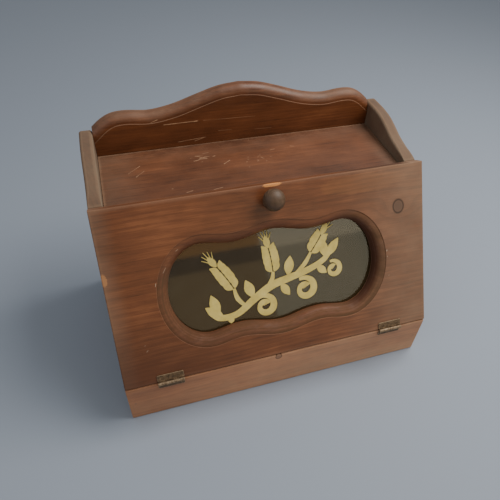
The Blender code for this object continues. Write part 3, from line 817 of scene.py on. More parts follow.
def side_dust_and_light(paint, along, across, through):
    """Dust and painted sheen on the rounded tops, and dust and painted light on the inner faces above the
    shelf.
    """
    inner = 1 - through.size().smooth(INNER + 0.5 * MM, INNER + 1.5 * MM)
    # The inner faces lie in shade, and their pale share stands for light as well as dust.
    return paint.facing_up().smooth(0.25, 0.8) * 0.68 + inner * 0.95 + 0.1


def rail_dust_and_light(paint, along, across, through):
    """Dust and painted light all over the rail, most at its foot, lit from the floor, and its right half."""
    return across.smooth(0.0, 60 * MM, 0.56, 0.38) + along.smooth(-70 * MM, 90 * MM, 0.0, 0.16)


def window_grime(paint, along, across, through):
    """On the round of the window, below the front face and away from the door's own edges."""
    sunk = through.smooth(door_low.y + 0.3 * MM, door_low.y + 0.7 * MM) * above_rear(through)
    upper = across.smooth(WINDOW_MIDDLE + 22 * MM, WINDOW_MIDDLE + 48 * MM)
    high = upper * (1 - along.smooth(80 * MM, 125 * MM))
    return sunk * (1 - along.size().smooth(HALF - 20 * MM, HALF - 15 * MM)) * (0.75 - high * 0.55)


def gallery_dust_and_sheen(paint, along, across, through):
    """Dust and painted sheen where the rounded crest faces up, least at its highest place, where hands take
    hold.
    """
    held = swell(paint, along, across, (22 * MM, gallery_high.z), 48 * MM, 60 * MM)
    return paint.facing_up().smooth(0.1, 0.9) * (0.26 - held * 0.22)


print("dust, shading and grime have their places")

# %% [markdown]
# Marks come next: knots, nicks and scratches, each at its own place in millimetres. A seeded scatter adds
# the fine scratches that gather where things are put down. Spots of putty lie over the nails, whose
# places are read from the frame.


# %% Knots, nicks and scratches
def in_mm(marks):
    """Marks given in millimetres, as (start, end, width, strength), in metres."""
    return [((x * MM, y * MM), (across * MM, up * MM), width * MM, strength)
            for (x, y), (across, up), width, strength in marks]


door_knot = ((167 * MM, door_top - 52.6 * MM), 8.2 * MM)
rail_knot = ((-10 * MM, rail_high.z - 5 * MM), 4.5 * MM)
door_bare_and_sheen = [
    ((3 * MM, door_top - 1.2 * MM), 14.5 * MM, 3.0 * MM, 1.0),
    ((2 * MM - HALF, door_low.z + 139 * MM), 4.5 * MM, 9 * MM, 0.55),
    # faint streaky orange flecks at the top right: bare wood and painted sheen
    ((118 * MM, door_top - 16 * MM), 70 * MM, 15 * MM, 0.09),
]
mid = WINDOW_MIDDLE / MM
door_chips = in_mm([
    ((-136, mid + 33), (-132, mid + 39), 0.6, 0.5), ((-147, mid + 19), (-146, mid + 23), 0.7, 0.6),
    ((-118, mid + 56), (-115, mid + 58), 0.7, 0.5), ((148.5, mid + 7), (149, mid + 9), 0.8, 0.8),
    ((149, mid - 1), (149.2, mid + 0.5), 0.7, 0.6), ((150, mid - 27), (151, mid - 26), 0.7, 0.5),
    ((-170, 44), (-168, 46), 0.8, 0.5), ((-171, 52), (-170, 53), 0.7, 0.4)])
shelf_marks = in_mm([
    ((-153.6, 66), (-138, 79.3), 0.5, 0.7), ((-145.4, 57.3), (-134, 67.8), 0.5, 0.7),
    ((-35.5, 59.8), (-26, 66.5), 0.8, 0.85), ((-6.3, 57), (-5.4, 58.4), 1.0, 0.6),
    ((-6.4, 46.3), (-5.0, 46.8), 0.9, 0.5), ((-107.4, 24.7), (-106, 25.0), 1.0, 0.5),
    ((9.3, 106), (10.5, 106.2), 1.1, 0.8), ((31, 76.6), (38, 78), 0.6, 0.4),
    ((-120, 10), (-112, 9), 0.6, 0.4), ((-60, 12), (-48, 14), 0.7, 0.5),
    ((60, 80), (66, 78), 0.6, 0.4), ((-92, 14), (-84, 16), 0.8, 0.5)])
scatter = random.Random(5)
# how many, centre, spread, shortest and longest, steepest, width, weakest and strongest
for many, (x, y), (wide, deep), (short, long), steep, width, (weak, strong) in (
        (16, (-62, 80), (8, 5), (1.5, 9), 1.5, 0.7, (0.45, 0.9)),
        (14, (4, 63), (9, 4), (0.8, 2.6), 1.2, 0.6, (0.2, 0.5))):
    for _ in range(many):
        a, b = scatter.gauss(x, wide), scatter.gauss(y, deep)
        run, rise = scatter.uniform(short, long), scatter.uniform(-steep, steep)
        shelf_marks += in_mm([((a, b), (a + run, b + rise), width, scatter.uniform(weak, strong))])
ledge = SHELF_TOP / MM
bead = ledge + 33.5
gallery_marks = in_mm([
    ((-100.6, bead), (-58, bead + 0.3), 0.9, 0.8), ((-62, bead), (-57, bead + 0.5), 1.5, 0.9),
    ((-49.9, bead), (20, bead - 2.1), 0.45, 0.35), ((-116, bead + 4.5), (-107, bead + 7.5), 1.1, 0.8),
    ((-84, ledge + 6.2), (-46.8, ledge + 8.8), 0.8, 0.5), ((-62, ledge + 4.6), (-48, ledge + 8.8), 0.9, 0.5),
    ((20, ledge + 12), (44, ledge + 11), 0.5, 0.3), ((-30, ledge + 16), (-12, ledge + 15.4), 0.5, 0.3)])

nails = {node: sum(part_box(node), Vector()) / 2 for node in frame["nodes"] if node.startswith("nail_")}
side_plugs = [(place.z, place.y) for node, place in nails.items() if "right" in node and "rail" not in node]
rail_plugs = [(place.x, place.z) for node, place in nails.items() if "rail" in node]
print(len(shelf_marks), "scratches on the shelf and", len(nails), "nails")

# %% [markdown]
# Now each board's own mix. The letters say which way its grain runs: along X on the door, and up the
# sides. The heart is where the tree's middle lay, seen from the board, and decides how wide the rings
# show.

# %% Mix the stained pine for each board
door_pine = stained_pine(
    "stained_pine_door", 2.0, "xzy", heart=(0.14, 0.05), face=door_low.y, rubbed=0.27, knots=[door_knot],
    bare_and_sheen=door_bare_and_sheen, chips=door_chips, dust_and_light=door_dust_and_sheen, grimy=window_grime, darkening=door_shade_and_smudges)
rail_pine = stained_pine(
    "stained_pine_rail", 7.3, "xzy", heart=(0.03, 0.07), face=-rail_low.y, tone=1.85, gloss=0.5, warm=0.72,
    rubbed=0.12, knots=[rail_knot], plugs=rail_plugs, dust_and_light=rail_dust_and_light, darkening=rail_left_darkening)
shelf_pine = stained_pine(
    "stained_pine_shelf", 13.1, "xyz", heart=(0.05, 0.3), face=SHELF_TOP, tone=0.9, gloss=0.5, warm=0.42,
    marks=shelf_marks, dust_and_light=shelf_dust, darkening=shelf_back_darkening)
gallery_pine = stained_pine(
    "stained_pine_gallery", 21.7, "xzy", heart=(0.27, 0.05), face=GALLERY_FRONT, tone=0.9, gloss=0.40,
    warm=0.42, marks=gallery_marks, dust_and_light=gallery_dust_and_sheen)
side_pine = stained_pine(
    "stained_pine_sides", 29.2, "zyx", heart=(-0.02, 0.32), face=HALF, tone=0.69, gloss=0.5, warm=0.42,
    plugs=side_plugs, dust_and_light=side_dust_and_light)
print("five mixes of stained pine")

# %% [markdown]
# ## The door
#
# The door is one flat board with a wavy window. A router bit with a pilot ran round the opening: it left
# a fine step, then a quarter round that rolls down to the glass. The whole board is a loop of rings, from
# the front face out over the sanded edge, round the back and out again through the window, so it needs no
# cutting at all.
#
# The window's outer line is read from the frame's own door and then drawn finer with a smooth curve.

# %% Build the door
BIT_STEP, BIT_DROP, WINDOW_ROUND = 1.0 * MM, 0.8 * MM, 12.7 * MM


def window_line():
    """The window's outer line about its centre, counter-clockwise, in the door's own frame."""
    back = DOOR_FRAME.inverted()
    found = []
    margin = 20 * MM
    for vertex in frame["nodes"]["door_panel"].data.vertices:
        x, y, z = back @ vertex.co
        inside = abs(x) < door_high.x - margin and door_low.z + margin < z < door_high.z - margin * 1.5
        if abs(y - door_low.y) < 0.05 * MM and inside:
            found.append((x, z))
    middle = sum(z for _, z in found) / len(found)
    found = {(round(x, 6), round(z, 6)) for x, z in found}
    found = sorted(found, key=lambda point: atan2(point[1] - middle, point[0]))
    apart = [found[0]]
    for point in found[1:]:
        if hypot(point[0] - apart[-1][0], point[1] - apart[-1][1]) > 0.5 * MM:
            apart.append(point)
    return smooth_line(apart + apart[:1], 3), middle


window, window_z = window_line()
window_in = inward([(*point, 0) for point in window])


def outer_line(inset):
    """The door's outline, a point for each of the window's, its corners among them."""
    wide, low, high = door_high.x - inset, door_low.z + inset, door_high.z - inset
    made = []
    for x, z in window:
        dx, dz = x, z - window_z
        tall = high - window_z if dz > 0 else window_z - low
        reach = min(wide / max(abs(dx), 1e-9), tall / max(abs(dz), 1e-9))
        made.append((dx * reach, window_z + dz * reach))
    for corner in ((-wide, low), (wide, low), (wide, high), (-wide, high)):
        nearest = min(range(len(made)), key=lambda i: (Vector(made[i]) - Vector(corner)).length)
        made[nearest] = corner
    return made


def build_door():
    front, rear = door_low.y, door_high.y
    eased, support, steps = 1.3 * MM, 5 * MM, 5
    rings, wears = [], []

    def outer(inset, y, worn):
        rings.append([(x, y, z) for x, z in outer_line(inset)])
        wears.append([worn] * len(window))

    def opening(inset, y, worn):
        points = [Vector(point) + direction * inset for point, direction in zip(window, window_in)]
        rings.append([(x, y, z) for x, z in points])
        wears.append([worn] * len(window))

    outer(eased + support, front, 0)
    for k in range(steps + 1):
        turn = pi / 2 * k / steps
        outer(eased * (1 - sin(turn)), front + eased * (1 - cos(turn)), 1)
    outer(0, front + eased + 3 * MM, 0.2)
    outer(0, rear - eased - 3 * MM, 0.2)
    for k in range(steps + 1):
        turn = pi / 2 * k / steps
        outer(eased * (1 - cos(turn)), rear - eased * (1 - sin(turn)), 1)
    outer(eased + support, rear, 0)
    bore = BIT_STEP + WINDOW_ROUND
    opening(bore - 1 * MM, rear, 0)
    opening(bore, rear - 0.3 * MM, 0.2)
    arc = 12
    for k in range(arc, -1, -1):
        turn = pi / 2 * k / arc
        opening(BIT_STEP + WINDOW_ROUND * sin(turn), front + BIT_DROP + WINDOW_ROUND * (1 - cos(turn)),
                0.30 if k > 1 else 0.1)
    opening(0.15 * MM, front + BIT_DROP, 0.1)
    # The step's lip is worn pale, which also paints the fine highlight along the step.
    opening(0, front + 0.2 * MM, 0.9)
    opening(-0.2 * MM, front, 0.9)
    opening(-1.2 * MM, front, 0.1)
    opening(-4 * MM, front, 0)
    return new_piece("door_board", rings, wears, "door", door_pine, ["door_panel"],
                     DOOR_FRAME, closed=True)


door_board = build_door()
print("the window's line has", len(window), "points; the door has", len(door_board.data.vertices))

# %% [markdown]
# ## The gallery
#
# The board behind the shelf is scalloped along its top, with the same step and round as the window. Its
# crest is read from the frame. The offset lines follow the crest's normal, as a router's pilot does, so
# the step keeps its width round the shoulders.

# %% Build the gallery
GALLERY_ROUND = 10.5 * MM


def crest_points(node, face, on_face):
    """The highest points of a node along one of its faces, as (place along, height)."""
    found = [vertex.co for vertex in frame["nodes"][node].data.vertices if on_face(vertex.co)]
    tops = {}
    for point in found:
        along = round(point[face], 5)
        tops[along] = max(tops.get(along, 0), point.z)
    return sorted(tops.items())


def read_line(points, at):
    """The height of a line of points at a place along it, carried on straight past its ends."""
    index = 0
    while index < len(points) - 2 and points[index + 1][0] < at:
        index += 1
    (a, low), (b, high) = points[index][:2], points[index + 1][:2]
    return low + (high - low) * (at - a) / (b - a)


def build_gallery():
    low, high = gallery_low, gallery_high
    foot, front, rear = low.z, low.y, high.y
    tops = crest_points("gallery_back", 0, lambda p: p.y > rear - 0.05 * MM and p.z > SHELF_TOP + 5 * MM)
    fine = smooth_line(tops, 5)

    def crest(offset):
        moved = []
        for i, here in enumerate(fine):
            before, after = fine[max(i - 1, 0)], fine[min(i + 1, len(fine) - 1)]
            lean = atan2(after[1] - before[1], after[0] - before[0])
            moved.append((here[0] + offset * sin(lean), here[1] - offset * cos(lean)))
        return sorted(moved)

    full = GALLERY_ROUND + BIT_STEP
    arc, eased = 10, 1.6 * MM
    # The bead's lip is worn pale, partly a painted highlight along the step; the round's wear partly stands
    # for painted light from above.
    profile = [(0, full + 4 * MM, 0.05), (0, full + 0.9 * MM, 0.1), (0, full + 0.25 * MM, 0.95),
               (0.2 * MM, full, 0.95), (BIT_DROP, full - 0.1 * MM, 0.1),
               (BIT_DROP + 0.1 * MM, full - BIT_STEP, 0.25)]
    for k in range(1, arc + 1):
        turn = pi / 2 * k / arc
        profile.append((BIT_DROP + GALLERY_ROUND * (1 - cos(turn)), GALLERY_ROUND * (1 - sin(turn)), 0.38))
    for k in range(4):
        turn = pi / 2 * k / 3
        profile.append((rear - front - eased * (1 - sin(turn)), eased * (1 - cos(turn)), 0.7))
    lines = [crest(offset) for _, offset, _ in profile]
    panel_low, panel_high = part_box("back_panel")
    notch_y, notch_z = panel_low.y - 0.3 * MM, panel_high.z + 0.3 * MM
    stations = 190
    rings, wears = [], []
    for i in range(stations + 1):
        x = low.x + (high.x - low.x) * i / stations
        ring = [(x, front, foot)] + [(x, front + depth, read_line(line, x))
                                     for (depth, _, _), line in zip(profile, lines)]
        ring += [(x, rear, SHELF_TOP + 8 * MM), (x, rear, notch_z), (x, notch_y, notch_z), (x, notch_y, foot)]
        rings.append(ring)
        wears.append([0.0] + [worn for _, _, worn in profile] + [0.0, 0.3, 0.0, 0.0])
    return new_piece("gallery_board", rings, wears, "case", gallery_pine, ["gallery_back"])


gallery_board = build_gallery()
print("the gallery has", len(gallery_board.data.vertices), "points")

# %% [markdown]
# ## The side boards
#
# Each side falls in an S from the gallery to the door. Its top edges are rounded over by hand, more than
# the others, so the radius of the arc depends on the height of the point on the outline. The back panel
# lies in a rebate, so the inner half of the board has a shorter outline than the outer half, and the two
# meet in a step.

# %% Build the side boards
def build_side(node, side):
    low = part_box(node)[0]
    outer_x = side * HALF
    tops = crest_points(node, 1, lambda p: abs(p.x - outer_x) < 0.05 * MM)
    near = 8 * MM
    crest = [(y, z) for y, z in tops if z > SHELF_TOP + 3 * MM
             and all(other[1] < z + 4 * MM for other in tops if abs(other[0] - y) < near)]
    fine = [tuple(point) for point in smooth_line(crest, 3)]
    last = fine[-1]
    fine = [point for point in fine if point[0] < REAR - 14 * MM] + [last]
    front_y = low.y
    first = fine[0]
    front_z = first[1] - (first[0] - front_y) * cos(LEAN) / sin(LEAN)
    panel_low, panel_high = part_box("back_panel")
    rebate_y, rebate_z = panel_low.y - 0.3 * MM, panel_high.z + 0.3 * MM
    corners = [(REAR, 0, 0), (front_y, 0), (front_y, front_z), first]
    corners += [(*point, 0) for point in fine[1:-1] if point[0] > first[0] + 5 * MM]
    corners += [(*fine[-1], 5.5 * MM), (REAR, rebate_z, 0), (REAR, rebate_z - 0.05 * MM, 0)]
    full = soft_outline(corners, 1.9 * MM)
    under = rebate_z - 0.01 * MM
    rebated = [(min(y, rebate_y) if z < under else y, z, worn) for y, z, worn in full]
    rebated[-1] = (rebate_y, rebate_z, 0.0)
    slim, round_over = 0.9 * MM, 3.4 * MM

    def radius_at(point):
        """Small along the straight edges, full along the crest, and small again where it meets the door."""
        risen = min(1, max(0, (point[1] - SHELF_TOP + 4 * MM) / (10 * MM)))
        back = min(1, max(0, (point[0] - first[0] - 2 * MM) / (22 * MM)))
        return slim + (round_over - slim) * min(risen, back)

    inner, inner_wear = end_rings(
        rebated, side * INNER, side, slim, across_x, support=2 * MM, radius_at=radius_at)
    outer, outer_wear = end_rings(
        full, side * HALF, -side, slim, across_x, support=2 * MM, radius_at=radius_at)
    step_x = side * (panel_high.x + 0.3 * MM)
    step = [[across_x(y, z, step_x) for y, z, _ in line] for line in (rebated, full)]
    worn = [point[2] for point in full]
    rings = inner + step + outer[::-1]
    wears = inner_wear + [worn, worn] + outer_wear[::-1]
    return new_piece(f"{node}_board", rings, wears, "case", side_pine, [node])


for node, side in (("left_side", -1), ("right_side", 1)):
    board = build_side(node, side)
    print(board.name, len(board.data.vertices), "points")

# %% [markdown]
# ## The rail, the shelf and the bottom
#
# Three plain boards. The rail's top and the shelf's front are cut to the door's slope, so the door lies
# flat on both.

# %% Build the straight boards
slope = sin(LEAN) / cos(LEAN)
rail_outline = soft_outline([
    (rail_high.y, 0), (rail_low.y, 0), (rail_low.y, rail_high.z), (rail_high.y, rail_high.z - BOARD * slope)],
    1.9 * MM)
rings, wears = board_rings(rail_outline, rail_low.x, rail_high.x, 1.3 * MM, across_x)
new_piece("rail_board", rings, wears, "case", rail_pine, ["base_rail"])

shelf_outline = soft_outline([
    (shelf_high.y, shelf_low.z), (shelf_low.y, shelf_low.z), (shelf_low.y + BOARD * slope, shelf_high.z),
    (shelf_high.y, shelf_high.z)], 1.1 * MM)
rings, wears = board_rings(shelf_outline, shelf_low.x, shelf_high.x, 0.5 * MM, across_x)
new_piece("shelf_board", rings, wears, "case", shelf_pine, ["top_shelf"])
print("rail and shelf are in place")

# %% [markdown]
# ## The turned knob
#
# A small mushroom knob of dark-stained hardwood, turned on a lathe: a foot, a narrow neck and a low dome.
# It is spun from one profile. The grain runs through it from front to back, so the dome shows end grain
# as soft rings.


# %% Turned pieces
def spun(name, profile, frame_at, body, material, replaced=(), sides=48):
    """A profile of (radius, height) pairs spun round the Z axis of its own frame."""
    bm = bmesh.new()
    rows = []
    for radius, height in profile:
        if radius < 1e-7:
            rows.append([bm.verts.new((0, 0, height))])
        else:
            rows.append([bm.verts.new((radius * cos(tau * k / sides), radius * sin(tau * k / sides), height))
                         for k in range(sides)])
    for row, after in zip(rows, rows[1:]):
        for k in range(sides):
            j = (k + 1) % sides
            corners = [row[k % len(row)], row[j % len(row)], after[j % len(after)], after[k % len(after)]]
            kept = [corner for i, corner in enumerate(corners) if corner not in corners[:i]]
            bm.faces.new(kept)
    return piece_from(name, bm, body, material, replaced, frame_at, weigh=False)


def dark_wood(name):
    """Dark stained, hand-worn hardwood."""
    paint = Paint(name)
    x, y, z = paint.place()
    heart_y = y - 4 * MM
    rings = ((x * x + heart_y * heart_y) ** 0.5 / (1.6 * MM)).fraction()
    soft = paint.noise(paint.point, 260, 4, 0.6, 3.0)
    fibre = paint.noise(paint.vector(x * 900, y * 900, z * 90), 1, 3, 0.6, 5.0)
    patch = paint.noise(paint.point, 70, 2, 0.5, 8.0)
    light = (rings * 0.18 + soft * 0.45 + fibre * 0.25 + patch * 0.35).at_most(1.0)
    colour = paint.ramp(light, [(0.35, (0.036, 0.020, 0.011)), (0.62, (0.090, 0.050, 0.026)),
                                (0.9, (0.185, 0.112, 0.062))])
    rough = 0.52 + (soft - 0.5) * 0.4
    normal = paint.bump(fibre * 0.5 + soft * 0.5, 0.45, 0.3 * MM)
    return paint.finish(Base_Color=colour, Roughness=rough, Normal=normal)


knob_low, knob_high = leaning_box("knob")
knob_radius = (knob_high.x - knob_low.x) / 2
knob_height = knob_high.y - knob_low.y
dome_tall = knob_radius * 0.86
dome_middle = knob_height - dome_tall
knob_profile = [(0, 0), (7.3 * MM, 0), (7.6 * MM, 0.3 * MM), (7.9 * MM, 1.0 * MM), (7.7 * MM, 1.7 * MM),
                (6.9 * MM, 2.4 * MM), (6.75 * MM, 3.2 * MM), (7.3 * MM, 4.0 * MM)]
for k in range(15):
    turn = radians(-48 + 138 * k / 14)
    knob_profile.append((knob_radius * cos(turn), dome_middle + dome_tall * sin(turn)))
knob_profile[-1] = (0, knob_profile[-1][1])
knob_foot = Vector(((knob_low.x + knob_high.x) / 2, knob_high.y, (knob_low.z + knob_high.z) / 2))
knob_at = DOOR_FRAME @ Matrix.Translation(knob_foot) @ Matrix.Rotation(pi / 2, 4, "X")
dark = dark_wood("dark_turned_wood")
spun("turned_knob", knob_profile, knob_at, "door", dark, ["knob"])
print("the knob is", round(knob_radius * 2, 4), "across")

# %% [markdown]
# ## Tarnished brass hinges
#
# A butt hinge leaf is a strip of brass whose edge is rolled into knuckles round the pin. Here the section
# of plate and knuckle is one outline, drawn with its corners eased and swept along each stretch that has
# a knuckle. Old brass goes brown where nobody touches it, and stays yellow on the rims of knuckles and
# screw slots.


# %% Metals
def old_metal(name, dark, base, bright, seed, rough=0.42, metallic=1.0, spots=0.5):
    """Metal under tarnish: bright on worn places, dark in patches."""
    paint = Paint(name)
    paint.place()
    patch = paint.noise(paint.point, 320, 4, 0.6, seed)
    fine = paint.noise(paint.point, 1600, 3, 0.6, seed + 2)
    wear = paint.attribute("wear")
    light = (patch - 0.5) * 1.6 * spots + 0.42 + (fine - 0.5) * 0.5 + wear * 0.55
    colour = paint.ramp(light.at_most(1.0).at_least(0.0), [(0.1, dark), (0.5, base), (0.95, bright)])
    uneven = rough + (patch - 0.5) * 0.35 - wear * 0.1
    shine = (light * 0.5 + 0.55).at_most(1.0) * metallic
    normal = paint.bump(patch * 0.6 + fine * 0.4, 0.3, 0.08 * MM)
    return paint.finish(Base_Color=colour, Roughness=uneven.at_least(0.15), Metallic=shine, Normal=normal)


brass = old_metal("aged_brass", (0.055, 0.036, 0.021), (0.18, 0.120, 0.070), (0.42, 0.32, 0.21), 4.0,
                  rough=0.64, metallic=0.8, spots=1.0)
steel = old_metal("bright_steel", (0.16, 0.15, 0.14), (0.42, 0.41, 0.40), (0.70, 0.69, 0.67), 9.0, 0.35)
print("brass and steel are mixed")

# %% Hinge sizes
LEAF_THICK = 1.0 * MM
rail_leaf_low, rail_leaf_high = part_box("hinge_left_rail_leaf")
BARREL = PIN.y - rail_leaf_low.y
LEAF_REACH = PIN.z - rail_leaf_low.z
HINGE_LENGTH = rail_leaf_high.x - rail_leaf_low.x
KNUCKLES = 5
GAP = 0.15 * MM
print(f"hinges {HINGE_LENGTH:.4f} m long, barrels {BARREL * 2:.4f} m thick")


# %% Build the hinge leaves
def knuckle_section(up):
    """The plate's root and its roll round the pin, as one outline of (y, z, wear)."""
    bore, root = BARREL - LEAF_THICK, 2.9 * MM
    turns = [5 / 3 * pi * k / 24 for k in range(25)]
    outer = [(BARREL * cos(turn), -BARREL * sin(turn) * up, 0.45) for turn in turns]
    inner = [(bore * cos(turn), -bore * sin(turn) * up, 0.0) for turn in turns]
    return [(BARREL, root * up, 0.0)] + outer + inner[::-1] + [(bore, root * up, 0.0)]


def leaf_piece(node, up, own, frame_at, body):
    """A hinge leaf about the pin's axis; up is the way its plate points, own are its knuckles' places."""
    pin_low, pin_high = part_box(node.rsplit("_", 2)[0] + "_pin")
    middle, half = (pin_low.x + pin_high.x) / 2, HINGE_LENGTH / 2
    bm = bmesh.new()
    bm.verts.layers.float.new("wear")
    root = 2.6 * MM
    corners = [(middle - half, root * up), (middle + half, root * up),
               (middle + half, LEAF_REACH * up), (middle - half, LEAF_REACH * up)]
    plate = soft_outline(corners, 0.9 * MM, support=1.0 * MM)
    rings, wears = board_rings(plate, BARREL - LEAF_THICK, BARREL, 0.2 * MM, lambda x, z, y: (x, y, z),
                               steps=3, support=0.25 * MM, flat=0.3 * MM)
    add_rings(bm, rings, wears)
    segment = HINGE_LENGTH / KNUCKLES
    for index in own:
        start = middle - half + index * segment + GAP
        rings, wears = board_rings(knuckle_section(up), start, start + segment - 2 * GAP, 0.15 * MM, across_x,
                                   steps=3, support=0.3 * MM, flat=0.1 * MM)
        add_rings(bm, rings, wears)
    return piece_from(node + "_rolled", bm, body, brass, [node], frame_at, weigh=False)


PIN_FRAME = Matrix.Translation(PIN)
for hand in ("left", "right"):
    leaf_piece(f"hinge_{hand}_door_leaf", 1, range(1, KNUCKLES, 2), DOOR_FRAME, "door")
    leaf_piece(f"hinge_{hand}_rail_leaf", -1, range(0, KNUCKLES, 2), PIN_FRAME, "case")
    pin_low, pin_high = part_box(f"hinge_{hand}_pin")
    radius, length = (pin_high.z - pin_low.z) / 2, pin_high.x - pin_low.x
    domes = [(0, 0), (radius * 0.7, 0.08 * MM), (radius, 0.5 * MM)]
    domes += [(radius, length - 0.5 * MM), (radius * 0.7, length - 0.08 * MM), (0, length)]
    pin_at = Matrix.Translation((pin_low.x, PIN.y, PIN.z)) @ Matrix.Rotation(pi / 2, 4, "Y")
    spun(f"hinge_{hand}_turned_pin", domes, pin_at, "case", brass, [f"hinge_{hand}_pin"], 24)
print("four leaves and two pins")

# %% [markdown]
# ## Screws
#
# Old slotted wood screws, a little proud of the plate. The head is a low dome over a cone, and the slot
# is cut with a box. No two slots stand at the same angle, as nobody lines them up.


# %% Build the screws
def wood_screw(node, frame_at, outward, metal, body, angle):
    """A slotted countersunk screw in place of a node; outward is its axis in the frame given."""
    back = frame_at.inverted()
    points = [back @ vertex.co for vertex in frame["nodes"][node].data.vertices]
    axis = [abs(value) for value in outward].index(1)
    low = [min(point[i] for point in points) for i in range(3)]
    high = [max(point[i] for point in points) for i in range(3)]
    middle = Vector([(a + b) / 2 for a, b in zip(low, high)])
    middle[axis] = high[axis] if outward[axis] > 0 else low[axis]
    other = (axis + 1) % 3
    head, length = (high[other] - low[other]) / 2, high[axis] - low[axis]
    shank = head * 0.48
    proud = 0.30 * MM
    profile = [(0, -length), (shank * 0.5, -length * 0.86), (shank, -length * 0.7), (shank, shank - head)]
    profile += [(head, 0), (head, 0.06 * MM)]
    profile += [(head * 0.86, proud * 0.55), (head * 0.5, proud * 0.9), (0, proud)]
    turn = Vector((0, 0, 1)).rotation_difference(Vector(outward)).to_matrix().to_4x4()
    at = frame_at @ Matrix.Translation(middle) @ turn @ Matrix.Rotation(angle, 4, "Z")
    made = spun(node + "_slotted", profile, at, body, metal, [node], 28)
    cut(made, (-head * 1.3, -0.28 * MM, -0.35 * MM), (head * 1.3, 0.28 * MM, 2 * MM), at)
    made.data.shade_smooth()
    made.data.set_sharp_from_angle(angle=radians(40))
    return made


turner = random.Random(11)
WORLD_FRAME = Matrix.Identity(4)
for hand in ("left", "right"):
    for end in ("left", "right"):
        wood_screw(f"hinge_{hand}_door_screw_{end}", DOOR_FRAME, (0, -1, 0), brass, "door",
                   turner.uniform(0, pi))
        wood_screw(f"hinge_{hand}_rail_screw_{end}", WORLD_FRAME, (0, -1, 0), brass, "case",
                   turner.uniform(0, pi))
for node, outward, body in (
        ("knob_screw", (0, 1, 0), "door"), ("strike_screw", (0, 1, 0), "door"),
        ("catch_screw_lower", (-1, 0, 0), "case"), ("catch_screw_upper", (-1, 0, 0), "case")):
    wood_screw(node, DOOR_FRAME, outward, steel, body, turner.uniform(0, pi))
print("twelve screws")

# %% [markdown]
# ## The window glass
#
# Old window glass is a dark, faintly green sheet from this side, because the box behind it is dark. It
# needs little colour of its own. It lets about a third of the light through and mirrors the room, with a
# thin film of dust along its lower edge that takes the polish off.


# %% Finish the glass
SEEN_THROUGH = 0.32


def window_glass():
    paint = Paint("window_glass")
    z = paint.place()[2]
    dust = paint.noise(paint.point, 60, 4, 0.65, 2.0)
    fleck = paint.noise(paint.point, 900, 2, 0.5, 6.0).smooth(0.70, 0.76)
    low = z.smooth(glass_low.z + 8 * MM, glass_low.z + 45 * MM, 0.35, 0.0)
    film = ((dust - 0.45).at_least(0.0) * 0.25 + fleck * 0.12 + low * dust).at_most(1.0)
    colour = paint.mix(film, (0.050, 0.034, 0.014), (0.20, 0.175, 0.13))
    rough = 0.045 + film * 0.05
    return paint.finish(Base_Color=colour, Roughness=rough, Alpha=1 - SEEN_THROUGH, IOR=1.52,
                        Specular_IOR_Level=0.7)


def dress(node, material):
    """Gives a node that stays as it is its finish."""
    slots = frame["nodes"][node].data.materials
    slots.clear()
    slots.append(material)


dress("window_glass", window_glass())
print("the pane is glazed")

# %% [markdown]
# ## The gold ornament
#
# The pane carries a transfer in pale gold with a fine dark outline: a rising vine with three wheat ears
# above it, and leaves and scrolls below. It could be an image, but strokes stay sharp at any size. Each
# stroke follows a smooth line with its own width along it, like a brush, and each grain and leaf is a
# short stroke that swells and closes.

# %% Brush strokes
def brush(points, widths, per_gap=8):
    """The two sides of a stroke along the smooth curve through points; widths are read evenly along it."""
    line = smooth_line([Vector((x * MM, z * MM, 0)) for x, z in points], per_gap)
    left, right = [], []
    last = len(line) - 1
    for i, here in enumerate(line):
        before, after = line[max(i - 1, 0)], line[min(i + 1, last)]
        run = (after - before).normalized()
        place = i / last * (len(widths) - 1)
        index = min(int(place), len(widths) - 2)
        wide = (widths[index] + (widths[index + 1] - widths[index]) * (place - index)) * MM / 2
        side = Vector((-run.y, run.x, 0))
        left.append((here, side, wide))
        right.append((here, side * -1, wide))
    return left, right


def grain(x, z, angle, long, wide):
    """A wheat grain: a leaf shape from its root at an angle."""
    ends = []
    for k in range(7):
        t = k / 6
        ends.append((x + cos(angle) * long * t, z + sin(angle) * long * t))
    shape = [0.15, 0.62, 0.92, 1.0, 0.86, 0.5, 0.04]
    return brush(ends, [wide * value for value in shape], 2)


print("the brush is ready")


# %% Ears and scrolls
AWNS = (-0.42, -0.2, 0.0, 0.2, 0.42)


def ear(root, angle, grains, long):
    """A wheat ear: grains in pairs up a stem, one at the tip, and fine awns between them."""
    made = []
    x, z = root
    step = long / (grains + 1)
    for k in range(grains):
        size = 1 - 0.35 * abs(k / max(1, grains - 1) - 0.35)
        for side in (-1, 1):
            out = angle + side * pi / 2
            root_x, root_z = x + cos(out) * 1.6, z + sin(out) * 1.6
            made.append(grain(root_x, root_z, angle + side * 0.52, 17 * size, 9.6 * size))
        x += cos(angle) * step
        z += sin(angle) * step
        angle += 0.03
    made.append(grain(x, z, angle, 17, 8.6))
    for side in AWNS:
        reach = 25 - 12 * abs(side)
        tip = (x + cos(angle + side) * reach, z + sin(angle + side) * reach)
        middle = ((x + tip[0]) / 2 + sin(angle) * side * 3, (z + tip[1]) / 2 - cos(angle) * side * 3)
        made.append(brush([(x, z), middle, tip], [1.6, 1.2, 0.6], 5))
    return made


def curl(centre, start, end, first, last, widths):
    """A scroll: a spiral about a centre whose radius goes from first to last."""
    points = []
    for k in range(19):
        t = k / 18
        turn = start + (end - start) * t
        radius = first + (last - first) * t
        points.append((centre[0] + radius * cos(turn), centre[1] + radius * sin(turn)))
    return brush(points, widths, 3)


print("an ear has", len(ear((0, 0), 0.0, 5, 44)), "strokes")


